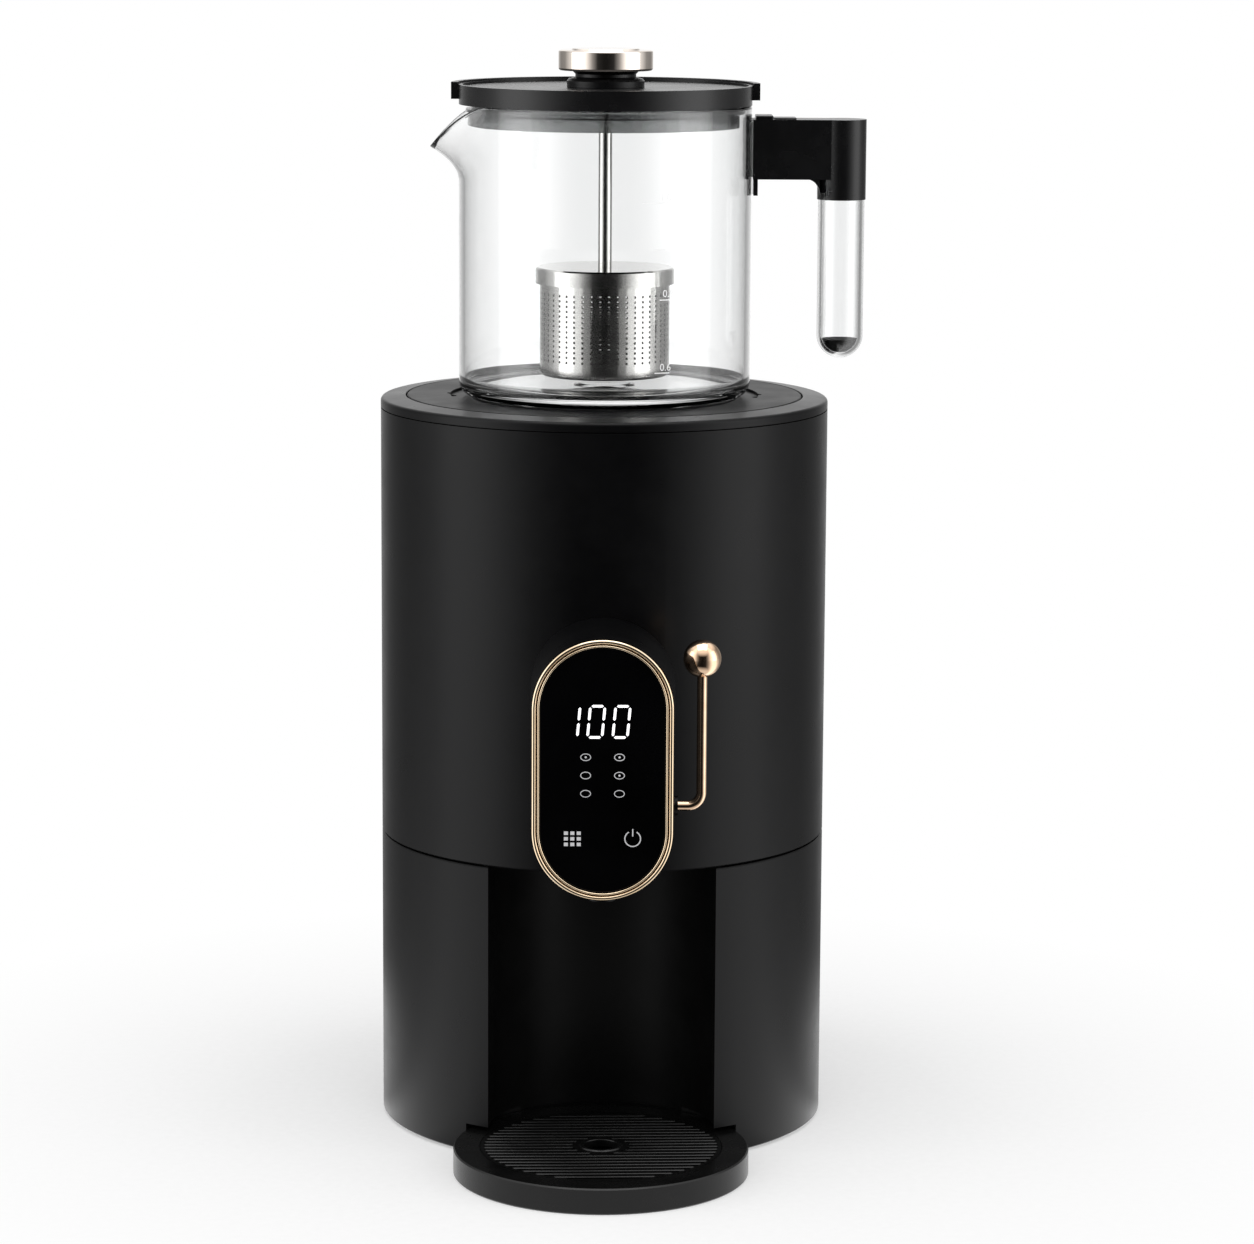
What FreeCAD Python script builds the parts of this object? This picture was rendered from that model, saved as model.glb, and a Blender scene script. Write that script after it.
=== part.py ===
import FreeCAD, Part
import math
import os
import Sketcher

# An automatic tea maker: a boiler in a round housing, with a glass teapot on its
# lid, a control pod with a lever tap on its front, and a niche with a drip tray.
# The origin is on the housing's axis at floor level, the front faces -Y, +Z is up.

Vector = FreeCAD.Vector
FULL_TURN = 360.0

# Every driving size in millimetres, with what it measures
DIMENSIONS = (
    ("body_radius", 100.0, "outer radius of the housing"),
    ("shell_wall", 2.5, "wall of both housing shells"),
    ("foot_height", 2.0, "rubber feet under the base plate"),
    ("foot_radius", 8.0, "radius of one foot"),
    ("foot_circle", 80.0, "radius of the circle of feet"),
    ("floor_gap", 1.2, "gap from the floor to the lower shell"),
    ("base_plate_thickness", 3.0, "floor plate of the housing"),
    ("seam_height", 131.0, "height of the seam between the shells"),
    ("seam_gap", 0.7, "width of that seam"),
    ("spigot_height", 4.0, "lip that centres the upper shell"),
    ("upper_height", 323.0, "top of the upper shell"),
    ("trim_gap", 0.3, "fine seam under the top ring"),
    ("rim_height", 327.4, "outer edge of the top ring"),
    ("crown_height", 328.6, "inner edge of the top ring and the lid"),
    ("rim_inner_radius", 88.8, "opening of the top ring"),
    ("close_fit", 0.15, "gap between pieces fixed together"),
    ("seat_gap", 0.2, "gap under a piece that only rests"),
    ("niche_radius", 49.7, "radius of the glass niche"),
    ("niche_setback", 86.8, "niche axis in front of the housing's axis"),
    ("liner_wall", 2.2, "wall of the niche liner"),
    ("tray_radius", 64.3, "outer radius of the drip tray"),
    ("tray_height", 11.6, "height of the drip tray"),
    ("tray_setback", 107.0, "tray axis in front of the housing's axis"),
    ("tray_clearance", 1.0, "running gap of the tray in its bay"),
    ("tray_roof_gap", 2.0, "gap over the tray in its bay"),
    ("tray_wall", 1.8, "wall of the tray dish"),
    ("tray_floor", 1.6, "floor of the tray dish"),
    ("grille_thickness", 2.6, "thickness of the tray grille"),
    ("grille_gap", 0.3, "gap around the grille"),
    ("grille_radius", 52.6, "radius of the tray's grille"),
    ("field_radius", 51.0, "radius of the slotted field"),
    ("slot_pitch", 4.4, "spacing of the grille slots"),
    ("slot_width", 1.8, "width of one slot"),
    ("grille_turn", 2.0, "angle of the slots to the front, in degrees"),
    ("grille_boss_radius", 11.0, "plain boss round the finger hole"),
    ("finger_hole_radius", 7.5, "finger hole of the grille"),
    ("deck_thickness", 2.4, "deck between the niche and the boiler"),
    ("tank_radius", 84.0, "boiler tank"),
    ("tank_wall", 0.8, "steel of the boiler tank"),
    ("tank_bottom", 152.0, "underside of the boiler tank"),
    ("tank_flange_radius", 93.0, "rolled flange of the tank"),
    ("tank_top", 318.0, "top of the tank's flange"),
    ("gasket_thickness", 3.0, "ring between the tank and the top ring"),
    ("heater_radius", 56.0, "heating plate under the tank"),
    ("heater_thickness", 5.0, "thickness of the heating plate"),
    ("element_radius", 42.0, "centre line of the heating tube"),
    ("element_wire", 3.3, "radius of the heating tube"),
    ("pod_radius", 31.0, "half width of the control pod"),
    ("pod_half_length", 26.0, "half of the pod's straight sides"),
    ("pod_height", 186.5, "height of the pod's centre"),
    ("pod_wall", 2.2, "wall of the pod"),
    ("pod_front", 147.0, "front edge of the pod, before the housing's axis"),
    ("pod_back", 84.0, "where the pod's sides start inside the housing"),
    ("pod_draft", 1.4, "draft of the pod's sides, in degrees"),
    ("window_radius", 22.0, "opening in the shell behind the pod"),
    ("bezel_radius", 29.8, "outer radius of the gold ring"),
    ("bezel_width", 3.2, "width of the gold ring"),
    ("bezel_depth", 5.0, "depth of the gold ring"),
    ("bezel_height", 1.8, "how far the gold ring stands forward of the pod"),
    ("glass_thickness", 2.0, "display glass"),
    ("glass_recess", 0.9, "display glass behind the ring's front"),
    ("board_thickness", 1.6, "circuit boards"),
    ("lever_height", 167.5, "height of the lever's axis"),
    ("lever_setback", 128.0, "lever axis in front of the housing's axis"),
    ("lever_rod_radius", 2.15, "radius of the lever rod"),
    ("lever_reach", 42.0, "upright of the lever beside the centre plane"),
    ("lever_bend", 6.0, "bend radius of the lever rod"),
    ("ball_radius", 8.1, "ball on the lever"),
    ("ball_height", 231.0, "height of the ball's centre"),
    ("crank_throw", 3.0, "offset of the crank pin"),
    ("crank_start", 30.0, "crank pin below level at rest, in degrees"),
    ("crank_radius", 6.5, "crank disc on the lever rod"),
    ("crank_thickness", 3.0, "thickness of the crank disc"),
    ("pin_radius", 1.5, "crank pin"),
    ("pin_play", 0.15, "play of the pin in the stem's slot"),
    ("running_fit", 0.06, "radial clearance of a turning or sliding fit"),
    ("bushing_radius", 4.2, "bush of the lever in the pod wall"),
    ("bushing_flange", 5.6, "outer flange of that bush"),
    ("stem_radius", 2.5, "valve stem"),
    ("tap_radius", 10.0, "tap body"),
    ("tap_wall", 2.0, "wall of the tap body"),
    ("tap_bottom", 138.0, "underside of the tap body"),
    ("tap_top", 159.0, "top of the tap body"),
    ("valve_seat", 142.0, "valve seat inside the tap body"),
    ("seal_radius", 6.4, "valve seal"),
    ("seal_thickness", 3.0, "thickness of the valve seal"),
    ("outlet_radius", 4.25, "bore of the water outlet"),
    ("outlet_wall", 1.6, "wall of the outlet"),
    ("outlet_bottom", 126.0, "lower end of the outlet"),
    ("inlet_height", 155.5, "height of the water hose"),
    ("hose_bore", 3.5, "bore of the water hose"),
    ("hose_wall", 2.0, "wall of the water hose"),
    ("lid_radius", 88.2, "lid plate of the boiler"),
    ("lid_thickness", 3.2, "lid plate of the boiler"),
    ("seat_radius", 69.0, "recess for the teapot"),
    ("seat_depth", 1.2, "depth of that recess"),
    ("seat_ring_width", 9.0, "soft ring under the teapot"),
    ("seat_ring_thickness", 0.8, "soft ring under the teapot"),
    ("pot_radius", 65.0, "teapot glass, outside"),
    ("pot_wall", 2.5, "teapot glass"),
    ("pot_floor", 4.5, "teapot glass at its bottom"),
    ("pot_corner", 6.0, "rounding of the teapot's bottom edge"),
    ("pot_rim", 457.3, "rim of the teapot"),
    ("spout_reach", 11.7, "how far the spout stands out"),
    ("spout_half_angle", 37.0, "half angle of the spout's root, in degrees"),
    ("spout_root", 426.0, "lower end of the spout"),
    ("spout_tip_height", 441.0, "height of the spout's lip"),
    ("lid_band_height", 8.6, "black band of the pot lid"),
    ("lid_band_radius", 65.0, "outer radius of that band"),
    ("lip_radius", 68.5, "rear lip of the pot lid"),
    ("lip_wall", 3.0, "rear lip of the pot lid"),
    ("lip_height", 467.0, "top of the rear lip"),
    ("lip_drop", 7.5, "height of the rear lip"),
    ("skirt_radius", 59.5, "seal skirt inside the pot"),
    ("skirt_depth", 9.3, "how deep the skirt reaches"),
    ("neck_radius", 13.5, "neck under the knob"),
    ("neck_flange", 17.2, "flange of that neck"),
    ("knob_radius", 21.0, "knob of the plunger"),
    ("knob_base", 472.5, "underside of the knob"),
    ("knob_height", 9.0, "height of the knob's rim"),
    ("rod_radius", 3.0, "plunger rod"),
    ("cap_radius", 31.0, "infuser cap"),
    ("cap_top", 385.6, "top of the infuser cap"),
    ("cap_height", 7.1, "height of the infuser cap"),
    ("cap_wall", 0.8, "steel of the infuser"),
    ("cup_radius", 29.0, "infuser cup"),
    ("cup_bottom", 337.4, "underside of the infuser cup"),
    ("hole_width", 1.7, "one opening of the infuser cup"),
    ("hole_height", 3.4, "one opening of the infuser cup"),
    ("hole_rise", 7.4, "spacing of the openings up the cup"),
    ("hole_start", 345.0, "lowest row of openings"),
    ("handle_axis", 105.0, "axis of the handle tube"),
    ("socket_radius", 10.8, "socket of the handle tube"),
    ("socket_bottom", 416.1, "underside of that socket"),
    ("bracket_top", 451.5, "top of the handle bracket"),
    ("bracket_bottom", 425.2, "underside of the handle bracket"),
    ("bracket_width", 19.0, "width of the handle bracket"),
    ("tongue_bottom", 417.8, "lower end of the bracket's tongue"),
    ("tongue_wall", 2.6, "thickness of the tongue"),
    ("pad_thickness", 0.6, "bonding pad between glass and bracket"),
    ("tube_radius", 10.3, "handle tube"),
    ("tube_wall", 2.0, "wall of the handle tube"),
    ("tube_bottom", 345.4, "lower end of the handle tube"),
    ("tube_insert", 12.0, "how deep the tube sits in its socket"),
)


class Size:
    """A number as it is now, with the sheet expression that keeps it current."""

    def __init__(self, value, text):
        self.value = float(value)
        self.text = text

    def combine(self, other, sign, value, flip=False):
        """Return the Size of a sum, product or quotient with another one."""
        first, second = (other, self) if flip else (self, other)
        return Size(value, "(%s %s %s)" % (first.text, sign, second.text))

    def __add__(self, other):
        other = size_of(other)
        return self.combine(other, "+", self.value + other.value)

    def __radd__(self, other):
        return size_of(other) + self

    def __sub__(self, other):
        other = size_of(other)
        return self.combine(other, "-", self.value - other.value)

    def __rsub__(self, other):
        return size_of(other) - self

    def __mul__(self, other):
        other = size_of(other)
        return self.combine(other, "*", self.value * other.value)

    def __rmul__(self, other):
        return self * other

    def __truediv__(self, other):
        other = size_of(other)
        return self.combine(other, "/", self.value / other.value)

    def __neg__(self):
        return self * -1.0


def size_of(number):
    """Return a Size for a plain number, or the Size itself."""
    if isinstance(number, Size):
        return number
    return Size(number, "(%r)" % float(number))


class Sheet:
    """The spreadsheet of driving sizes; each alias is an attribute with its Size."""

    def __init__(self, document):
        self.cells = document.addObject("Spreadsheet::Sheet", "Sizes")
        for row, (alias, number, meaning) in enumerate(DIMENSIONS, start=1):
            self.cells.set("A%d" % row, alias)
            self.cells.set("B%d" % row, str(number))
            self.cells.set("C%d" % row, meaning)
            self.cells.setAlias("B%d" % row, alias)
            setattr(self, alias, Size(number, "Sizes." + alias))


doc = FreeCAD.newDocument("tea_maker")
s = Sheet(doc)
doc.recompute()
NODES = []


def bind(target, prop, size):
    """Tie a property to the sheet."""
    target.setExpression(prop, size_of(size).text)


def place(target, x=0.0, y=0.0, z=0.0):
    """Tie the position of an object to the sheet."""
    for axis, size in (("x", x), ("y", y), ("z", z)):
        bind(target, "Placement.Base." + axis, size)


def register(target, label):
    """Name a finished sub-part and keep it for the export."""
    target.Label = label
    NODES.append(target)
    return target


def new_body(label):
    """Start a sub-part that is made from sketches."""
    body = doc.addObject("PartDesign::Body", "Body_" + label)
    return register(body, label)


def sketch_on(body, role, offset=0.0):
    """Add an empty sketch on one of the body's own origin planes."""
    support = next(item for item in body.Origin.OriginFeatures if item.Role == role)
    sketch = body.newObject("Sketcher::SketchObject", "Sketch")
    sketch.AttachmentSupport = [(support, "")]
    sketch.MapMode = "FlatFace"
    bind(sketch, "AttachmentOffset.Base.z", offset)
    return sketch


def pin_point(sketch, geometry, corner, x, y):
    """Fix one point of a sketch at sheet-driven distances from its origin."""
    for kind, axis, size in (("DistanceX", -2, x), ("DistanceY", -1, y)):
        if not isinstance(size, Size) and size == 0:
            sketch.addConstraint(Sketcher.Constraint("PointOnObject", geometry, corner, axis))
            continue
        size = size_of(size)
        rule = Sketcher.Constraint(kind, -1, 1, geometry, corner, size.value)
        number = sketch.addConstraint(rule)
        bind(sketch, "Constraints[%d]" % number, size)


def draw_polygon(sketch, points):
    """Draw a closed outline through the given corners."""
    start = sketch.GeometryCount
    count = len(points)
    corners = [Vector(size_of(x).value, size_of(y).value, 0) for x, y in points]
    for index in range(count):
        line = Part.LineSegment(corners[index], corners[(index + 1) % count])
        sketch.addGeometry(line, False)
    for index in range(count):
        following = start + (index + 1) % count
        sketch.addConstraint(Sketcher.Constraint("Coincident", start + index, 2, following, 1))
    for index, (x, y) in enumerate(points):
        pin_point(sketch, start + index, 1, x, y)


def draw_rectangle(sketch, left, bottom, right, top):
    """Draw an upright rectangle from its edges."""
    draw_polygon(sketch, [(left, bottom), (right, bottom), (right, top), (left, top)])


def draw_circle(sketch, radius, x=0, y=0):
    """Draw a full circle."""
    radius = size_of(radius)
    centre = Vector(size_of(x).value, size_of(y).value, 0)
    circle = sketch.addGeometry(Part.Circle(centre, Vector(0, 0, 1), radius.value), False)
    pin_point(sketch, circle, 3, x, y)
    number = sketch.addConstraint(Sketcher.Constraint("Radius", circle, radius.value))
    bind(sketch, "Constraints[%d]" % number, radius)


def draw_stadium(sketch, radius, half_length, height):
    """Draw an upright outline with straight sides and round ends."""
    radius = size_of(radius)
    top = Vector(0, height.value + half_length.value, 0)
    bottom = Vector(0, height.value - half_length.value, 0)
    side = Vector(radius.value, 0, 0)
    normal = Vector(0, 0, 1)
    first = sketch.GeometryCount
    upper = Part.ArcOfCircle(Part.Circle(top, normal, radius.value), 0, math.pi)
    lower = Part.ArcOfCircle(Part.Circle(bottom, normal, radius.value), math.pi, 2 * math.pi)
    sketch.addGeometry(upper, False)
    sketch.addGeometry(Part.LineSegment(top - side, bottom - side), False)
    sketch.addGeometry(lower, False)
    sketch.addGeometry(Part.LineSegment(bottom + side, top + side), False)
    for index in range(4):
        following = first + (index + 1) % 4
        sketch.addConstraint(Sketcher.Constraint("Tangent", first + index, 2, following, 1))
    sketch.addConstraint(Sketcher.Constraint("Equal", first, first + 2))
    pin_point(sketch, first, 3, 0, height + half_length)
    pin_point(sketch, first + 2, 3, 0, height - half_length)
    number = sketch.addConstraint(Sketcher.Constraint("Radius", first, radius.value))
    bind(sketch, "Constraints[%d]" % number, radius)


def revolve(body, sketch, angle=FULL_TURN):
    """Turn a sketch round the vertical axis."""
    feature = body.newObject("PartDesign::Revolution", "Revolution")
    feature.Profile = sketch
    feature.ReferenceAxis = (sketch, ["V_Axis"])
    feature.Angle = angle
    doc.recompute()
    return feature


def pad(body, sketch, length, draft=None):
    """Raise a sketch along its normal."""
    feature = body.newObject("PartDesign::Pad", "Pad")
    feature.Profile = sketch
    bind(feature, "Length", length)
    if draft is not None:
        bind(feature, "TaperAngle", draft)
    doc.recompute()
    return feature


def pocket(body, sketch, length, draft=None):
    """Cut a sketch along its normal, and check that it cut something."""
    before = body.Shape.Volume
    feature = body.newObject("PartDesign::Pocket", "Pocket")
    feature.Profile = sketch
    feature.Reversed = True
    bind(feature, "Length", length)
    if draft is not None:
        bind(feature, "TaperAngle", draft)
    doc.recompute()
    if body.Shape.Volume > before - 1e-6:
        raise RuntimeError("a pocket cut nothing in " + body.Label)
    return feature


def polar(body, features, sketch, count):
    """Repeat features evenly round the vertical axis."""
    feature = body.newObject("PartDesign::PolarPattern", "PolarPattern")
    feature.Originals = features
    feature.Axis = (sketch, ["V_Axis"])
    feature.Angle = FULL_TURN
    feature.Occurrences = count
    body.Tip = feature
    doc.recompute()
    return feature


def bevel(body, width, chosen):
    """Bevel the edges of the body's tip that the test picks out."""
    edges = body.Shape.Edges
    names = ["Edge%d" % number for number, edge in enumerate(edges, start=1) if chosen(edge)]
    if not names:
        raise RuntimeError("no edge to bevel in " + body.Label)
    base = body.Tip
    feature = body.newObject("PartDesign::Chamfer", "Chamfer")
    feature.Base = (base, names)
    bind(feature, "Size", width)
    doc.recompute()
    return feature


def is_ring(edge, radius, height):
    """Tell whether an edge is a level circle of this radius and height."""
    curve = edge.Curve
    if not hasattr(curve, "Radius") or abs(curve.Radius - size_of(radius).value) > 1e-4:
        return False
    level = abs(abs(curve.Axis.z) - 1.0) < 1e-6
    return level and abs(curve.Center.z - size_of(height).value) < 1e-4


def turned(label, points, bevels=()):
    """Make a turned sub-part from (radius, height) corners, then bevel some of them.

    bevels lists pairs of a corner's number and the bevel's width.
    """
    body = new_body(label)
    sketch = sketch_on(body, "XZ_Plane")
    draw_polygon(sketch, points)
    revolve(body, sketch)
    for corner, width in bevels:
        ring_radius, height = points[corner]
        bevel(body, width, lambda edge: is_ring(edge, ring_radius, height))
    return body


def dome_points(radius, centre, steps, start, stop):
    """Return (radius, height) corners along an arc round a centre on the axis.

    start and stop are angles above the level, in degrees.
    """
    corners = []
    for step in range(steps + 1):
        angle = math.radians(start + (stop - start) * step / steps)
        corners.append((radius * math.cos(angle), centre + radius * math.sin(angle)))
    return corners


def ring_points(inner, outer, bottom, top):
    """Return the corners of a plain ring's section."""
    return [(inner, bottom), (outer, bottom), (outer, top), (inner, top)]


def cylinder(name, radius, height, x=0.0, y=0.0, z=0.0, along="Z"):
    """Make a plain cylinder from its lower end, along Z, X or towards the front."""
    rod = doc.addObject("Part::Cylinder", name)
    bind(rod, "Radius", radius)
    bind(rod, "Height", height)
    turns = {"Z": (Vector(0, 0, 1), 0), "X": (Vector(0, 1, 0), 90), "-Y": (Vector(1, 0, 0), 90)}
    axis, angle = turns[along]
    rod.Placement = FreeCAD.Placement(Vector(), FreeCAD.Rotation(axis, angle))
    place(rod, x, y, z)
    return rod


def box(name, width, depth, height, x=0.0, y=0.0, z=0.0):
    """Make a box centred in X, from its rear-low edge at y towards +Y."""
    block = doc.addObject("Part::Box", name)
    bind(block, "Length", width)
    bind(block, "Width", depth)
    bind(block, "Height", height)
    place(block, size_of(x) - size_of(width) / 2, y, z)
    return block


def cut(base, tool):
    """Subtract one object from another."""
    result = doc.addObject("Part::Cut", "Cut")
    result.Base = base
    result.Tool = tool
    return result


def fuse(shapes):
    """Join overlapping objects into one solid."""
    result = doc.addObject("Part::MultiFuse", "Fusion")
    result.Shapes = shapes
    result.Refine = True
    return result


def common(base, tool):
    """Keep what two objects share."""
    result = doc.addObject("Part::Common", "Common")
    result.Base = base
    result.Tool = tool
    return result


def group(label, shapes):
    """Keep separate identical solids together as one sub-part."""
    result = doc.addObject("Part::Compound", "Group_" + label)
    result.Links = shapes
    return register(result, label)


# Heights and radii that several pieces share
shell_inner = s.body_radius - s.shell_wall
fitted_radius = shell_inner - s.close_fit
bay_radius = s.tray_radius + s.tray_clearance
bay_roof = s.tray_height + s.tray_roof_gap
plate_top = s.foot_height + s.base_plate_thickness
lower_top = s.seam_height - s.seam_gap / 2
upper_bottom = s.seam_height + s.seam_gap / 2
gasket_top = s.tank_top + s.gasket_thickness
seat_floor = s.crown_height - s.seat_depth
pot_bottom = seat_floor + s.seat_ring_thickness + s.seat_gap
band_bottom = s.pot_rim + s.seat_gap
band_top = band_bottom + s.lid_band_height
stem_setback = s.lever_setback - s.crank_throw


# Housing

def cut_bay(body, height):
    """Open a piece of the base for the drip tray."""
    bay = sketch_on(body, "XY_Plane")
    draw_circle(bay, bay_radius, 0, -s.tray_setback)
    pocket(body, bay, height)


def make_base_plate():
    """Floor of the housing, with screw bosses and the tray's bay cut out."""
    body = new_body("base_plate")
    outline = sketch_on(body, "XY_Plane", s.foot_height)
    draw_circle(outline, fitted_radius)
    pad(body, outline, s.base_plate_thickness)
    boss = sketch_on(body, "XY_Plane", s.foot_height)
    for x, y in BOSS_PLACES:
        draw_circle(boss, s.foot_radius / 2, x, y)
    pad(body, boss, s.base_plate_thickness + BOSS_HEIGHT)
    bores = sketch_on(body, "XY_Plane", s.foot_height)
    for x, y in BOSS_PLACES:
        draw_circle(bores, SCREW_RADIUS + s.close_fit, x, y)
    pocket(body, bores, s.base_plate_thickness + BOSS_HEIGHT)
    cut_bay(body, plate_top + BOSS_HEIGHT)


def make_base_screws():
    """Four screws that hold the base plate, flush in its underside."""
    screws = []
    for x, y in BOSS_PLACES:
        head = cylinder("screw_head", SCREW_RADIUS * 1.8, SCREW_HEAD, x, y,
                        s.foot_height - SCREW_HEAD)
        shank = cylinder("screw_shank", SCREW_RADIUS, plate_top + BOSS_HEIGHT - s.foot_height,
                         x, y, s.foot_height - SCREW_HEAD / 2)
        screws.append(fuse([head, shank]))
    group("base_screws", screws)


def make_base_feet():
    """Four rubber feet near the edge and one under the middle."""
    places = [(0.0, 0.0)]
    for angle in FOOT_ANGLES:
        turn = math.radians(angle)
        places.append((s.foot_circle * math.cos(turn), s.foot_circle * math.sin(turn)))
    feet = [cylinder("foot", s.foot_radius, s.foot_height, x, y) for x, y in places]
    group("base_feet", feet)


def cut_niche(body, bottom, height):
    """Open a piece for the glass niche."""
    niche = sketch_on(body, "XY_Plane", bottom)
    draw_circle(niche, s.niche_radius, 0, -s.niche_setback)
    pocket(body, niche, height)


def make_lower_shell():
    """Lower shell with the niche opening, the tray's bay and the gland's hole."""
    body = turned("lower_shell", [
        (shell_inner, s.floor_gap),
        (s.body_radius, s.floor_gap),
        (s.body_radius, lower_top),
        (shell_inner, lower_top),
    ], bevels=[(1, EDGE_BEVEL), (2, EDGE_BEVEL)])
    cut_niche(body, s.floor_gap - 1.0, s.seam_height)
    cut_bay(body, bay_roof)
    gland = sketch_on(body, "XZ_Plane", -s.body_radius - 1.0)
    draw_circle(gland, GLAND_RADIUS, 0, GLAND_HEIGHT)
    pocket(body, gland, s.shell_wall * 3)


def make_niche_liner():
    """Round back wall of the niche, with the roof and wall of the tray's bay."""
    body = new_body("niche_liner")
    wall = sketch_on(body, "XY_Plane", s.tray_height - s.liner_wall)
    draw_circle(wall, s.niche_radius + s.liner_wall, 0, -s.niche_setback)
    pad(body, wall, s.seam_height - s.close_fit - s.tray_height + s.liner_wall)
    bay_wall = sketch_on(body, "XY_Plane", plate_top + s.close_fit)
    draw_circle(bay_wall, bay_radius + s.liner_wall, 0, -s.tray_setback)
    pad(body, bay_wall, bay_roof + s.liner_wall - plate_top - s.close_fit)
    cut_niche(body, s.tray_height, s.seam_height)
    cut_bay(body, bay_roof)
    front = sketch_on(body, "XY_Plane")
    draw_circle(front, fitted_radius * 3)
    draw_circle(front, fitted_radius)
    pocket(body, front, s.seam_height + 1.0)


def make_mid_deck():
    """Deck that roofs the niche and centres the two shells on each other."""
    hub = s.seam_height + s.deck_thickness
    lip = fitted_radius - s.shell_wall
    body = turned("mid_deck", [
        (0, s.seam_height),
        (fitted_radius, s.seam_height),
        (fitted_radius, hub + s.spigot_height),
        (lip, hub + s.spigot_height),
        (lip, hub),
        (0, hub),
    ])
    wires = sketch_on(body, "XY_Plane", s.seam_height)
    draw_circle(wires, WIRE_HOLE_RADIUS, 0, WIRE_HOLE_Y)
    pocket(body, wires, s.deck_thickness)


def make_upper_shell():
    """Upper shell round the boiler, with an inner ledge and the pod's window."""
    ledge = s.tank_flange_radius - LEDGE_LAP
    body = turned("upper_shell", [
        (shell_inner, upper_bottom),
        (s.body_radius, upper_bottom),
        (s.body_radius, s.upper_height),
        (shell_inner, s.upper_height),
        (shell_inner, s.tank_top - s.tank_wall - s.close_fit),
        (ledge, s.tank_top - s.tank_wall - s.close_fit),
        (shell_inner, s.tank_top - s.tank_wall - LEDGE_DEPTH),
    ], bevels=[(1, EDGE_BEVEL)])
    window = sketch_on(body, "XZ_Plane", 0.0)
    draw_stadium(window, s.window_radius, s.pod_half_length, s.pod_height)
    pocket(body, window, s.body_radius + 1.0)
    holes = sketch_on(body, "XZ_Plane", 0.0)
    for x, z in POD_SCREW_PLACES:
        draw_circle(holes, SCREW_RADIUS + s.close_fit, x, s.pod_height + z)
    pocket(body, holes, s.body_radius + 1.0)


def make_top_ring():
    """Ring on top of the housing, crowned towards the lid."""
    outer = s.body_radius - EDGE_BEVEL
    bottom = s.upper_height + s.trim_gap
    turned("top_ring", [
        (s.rim_inner_radius, gasket_top + s.close_fit),
        (fitted_radius, gasket_top + s.close_fit),
        (fitted_radius, bottom),
        (s.body_radius, bottom),
        (s.body_radius, s.rim_height - EDGE_BEVEL),
        (outer, s.rim_height),
        (s.rim_inner_radius, s.crown_height),
    ])


# Boiler

def make_boiler_tank():
    """Deep drawn steel tank that hangs by its rolled flange, with its outlet spigot."""
    inner = s.tank_radius - s.tank_wall
    body = turned("boiler_tank", [
        (0, s.tank_bottom),
        (s.tank_radius, s.tank_bottom),
        (s.tank_radius, s.tank_top - s.tank_wall),
        (s.tank_flange_radius, s.tank_top - s.tank_wall),
        (s.tank_flange_radius, s.tank_top),
        (inner, s.tank_top),
        (inner, s.tank_bottom + s.tank_wall),
        (0, s.tank_bottom + s.tank_wall),
    ], bevels=[(1, TANK_CORNER), (6, TANK_CORNER - s.tank_wall)])
    spigot_start = s.tank_radius - TANK_CORNER
    spigot = sketch_on(body, "XZ_Plane", spigot_start)
    draw_circle(spigot, s.hose_bore - s.close_fit, 0, s.inlet_height)
    pad(body, spigot, TANK_CORNER + SPIGOT_LENGTH)
    bore = sketch_on(body, "XZ_Plane", spigot_start - 1.0)
    draw_circle(bore, s.hose_bore - NIPPLE_WALL, 0, s.inlet_height)
    pocket(body, bore, TANK_CORNER + SPIGOT_LENGTH + 2.0)


def make_tank_gasket():
    """Silicone ring between the tank's flange and the top ring."""
    turned("tank_gasket", ring_points(s.rim_inner_radius, s.tank_flange_radius,
                                      s.tank_top + s.close_fit, gasket_top))


def make_heating_plate():
    """Aluminium plate with its ring-shaped heating tube, pressed under the tank."""
    top = s.tank_bottom - s.close_fit
    underside = top - s.heater_thickness
    inner = s.element_radius - s.element_wire
    outer = s.element_radius + s.element_wire
    turned("heating_plate", [
        (0, underside),
        (inner, underside),
        (inner + 1.0, underside - s.element_wire),
        (outer - 1.0, underside - s.element_wire),
        (outer, underside),
        (s.heater_radius, underside),
        (s.heater_radius, top),
        (0, top),
    ])


def make_boiler_controls():
    """Thermostat, thermal fuse and water probe under the boiler."""
    underside = s.tank_bottom - s.close_fit - s.heater_thickness - s.close_fit
    turned_parts = (("boiler_thermostat", THERMOSTAT, 0.0), ("thermal_fuse", FUSE, FUSE_OFFSET))
    for label, (radius, height), x in turned_parts:
        can = cylinder("can", radius, height, x=x, z=underside - height)
        stud = cylinder("stud", radius / 2, height * 1.3, x=x, z=underside - height * 1.3)
        register(fuse([can, stud]), label)
    clip = s.tank_bottom - s.close_fit
    probe = cylinder("probe_head", PROBE_RADIUS, PROBE_HEIGHT, x=-PROBE_OFFSET,
                     z=clip - PROBE_HEIGHT)
    register(probe, "water_probe")


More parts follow.
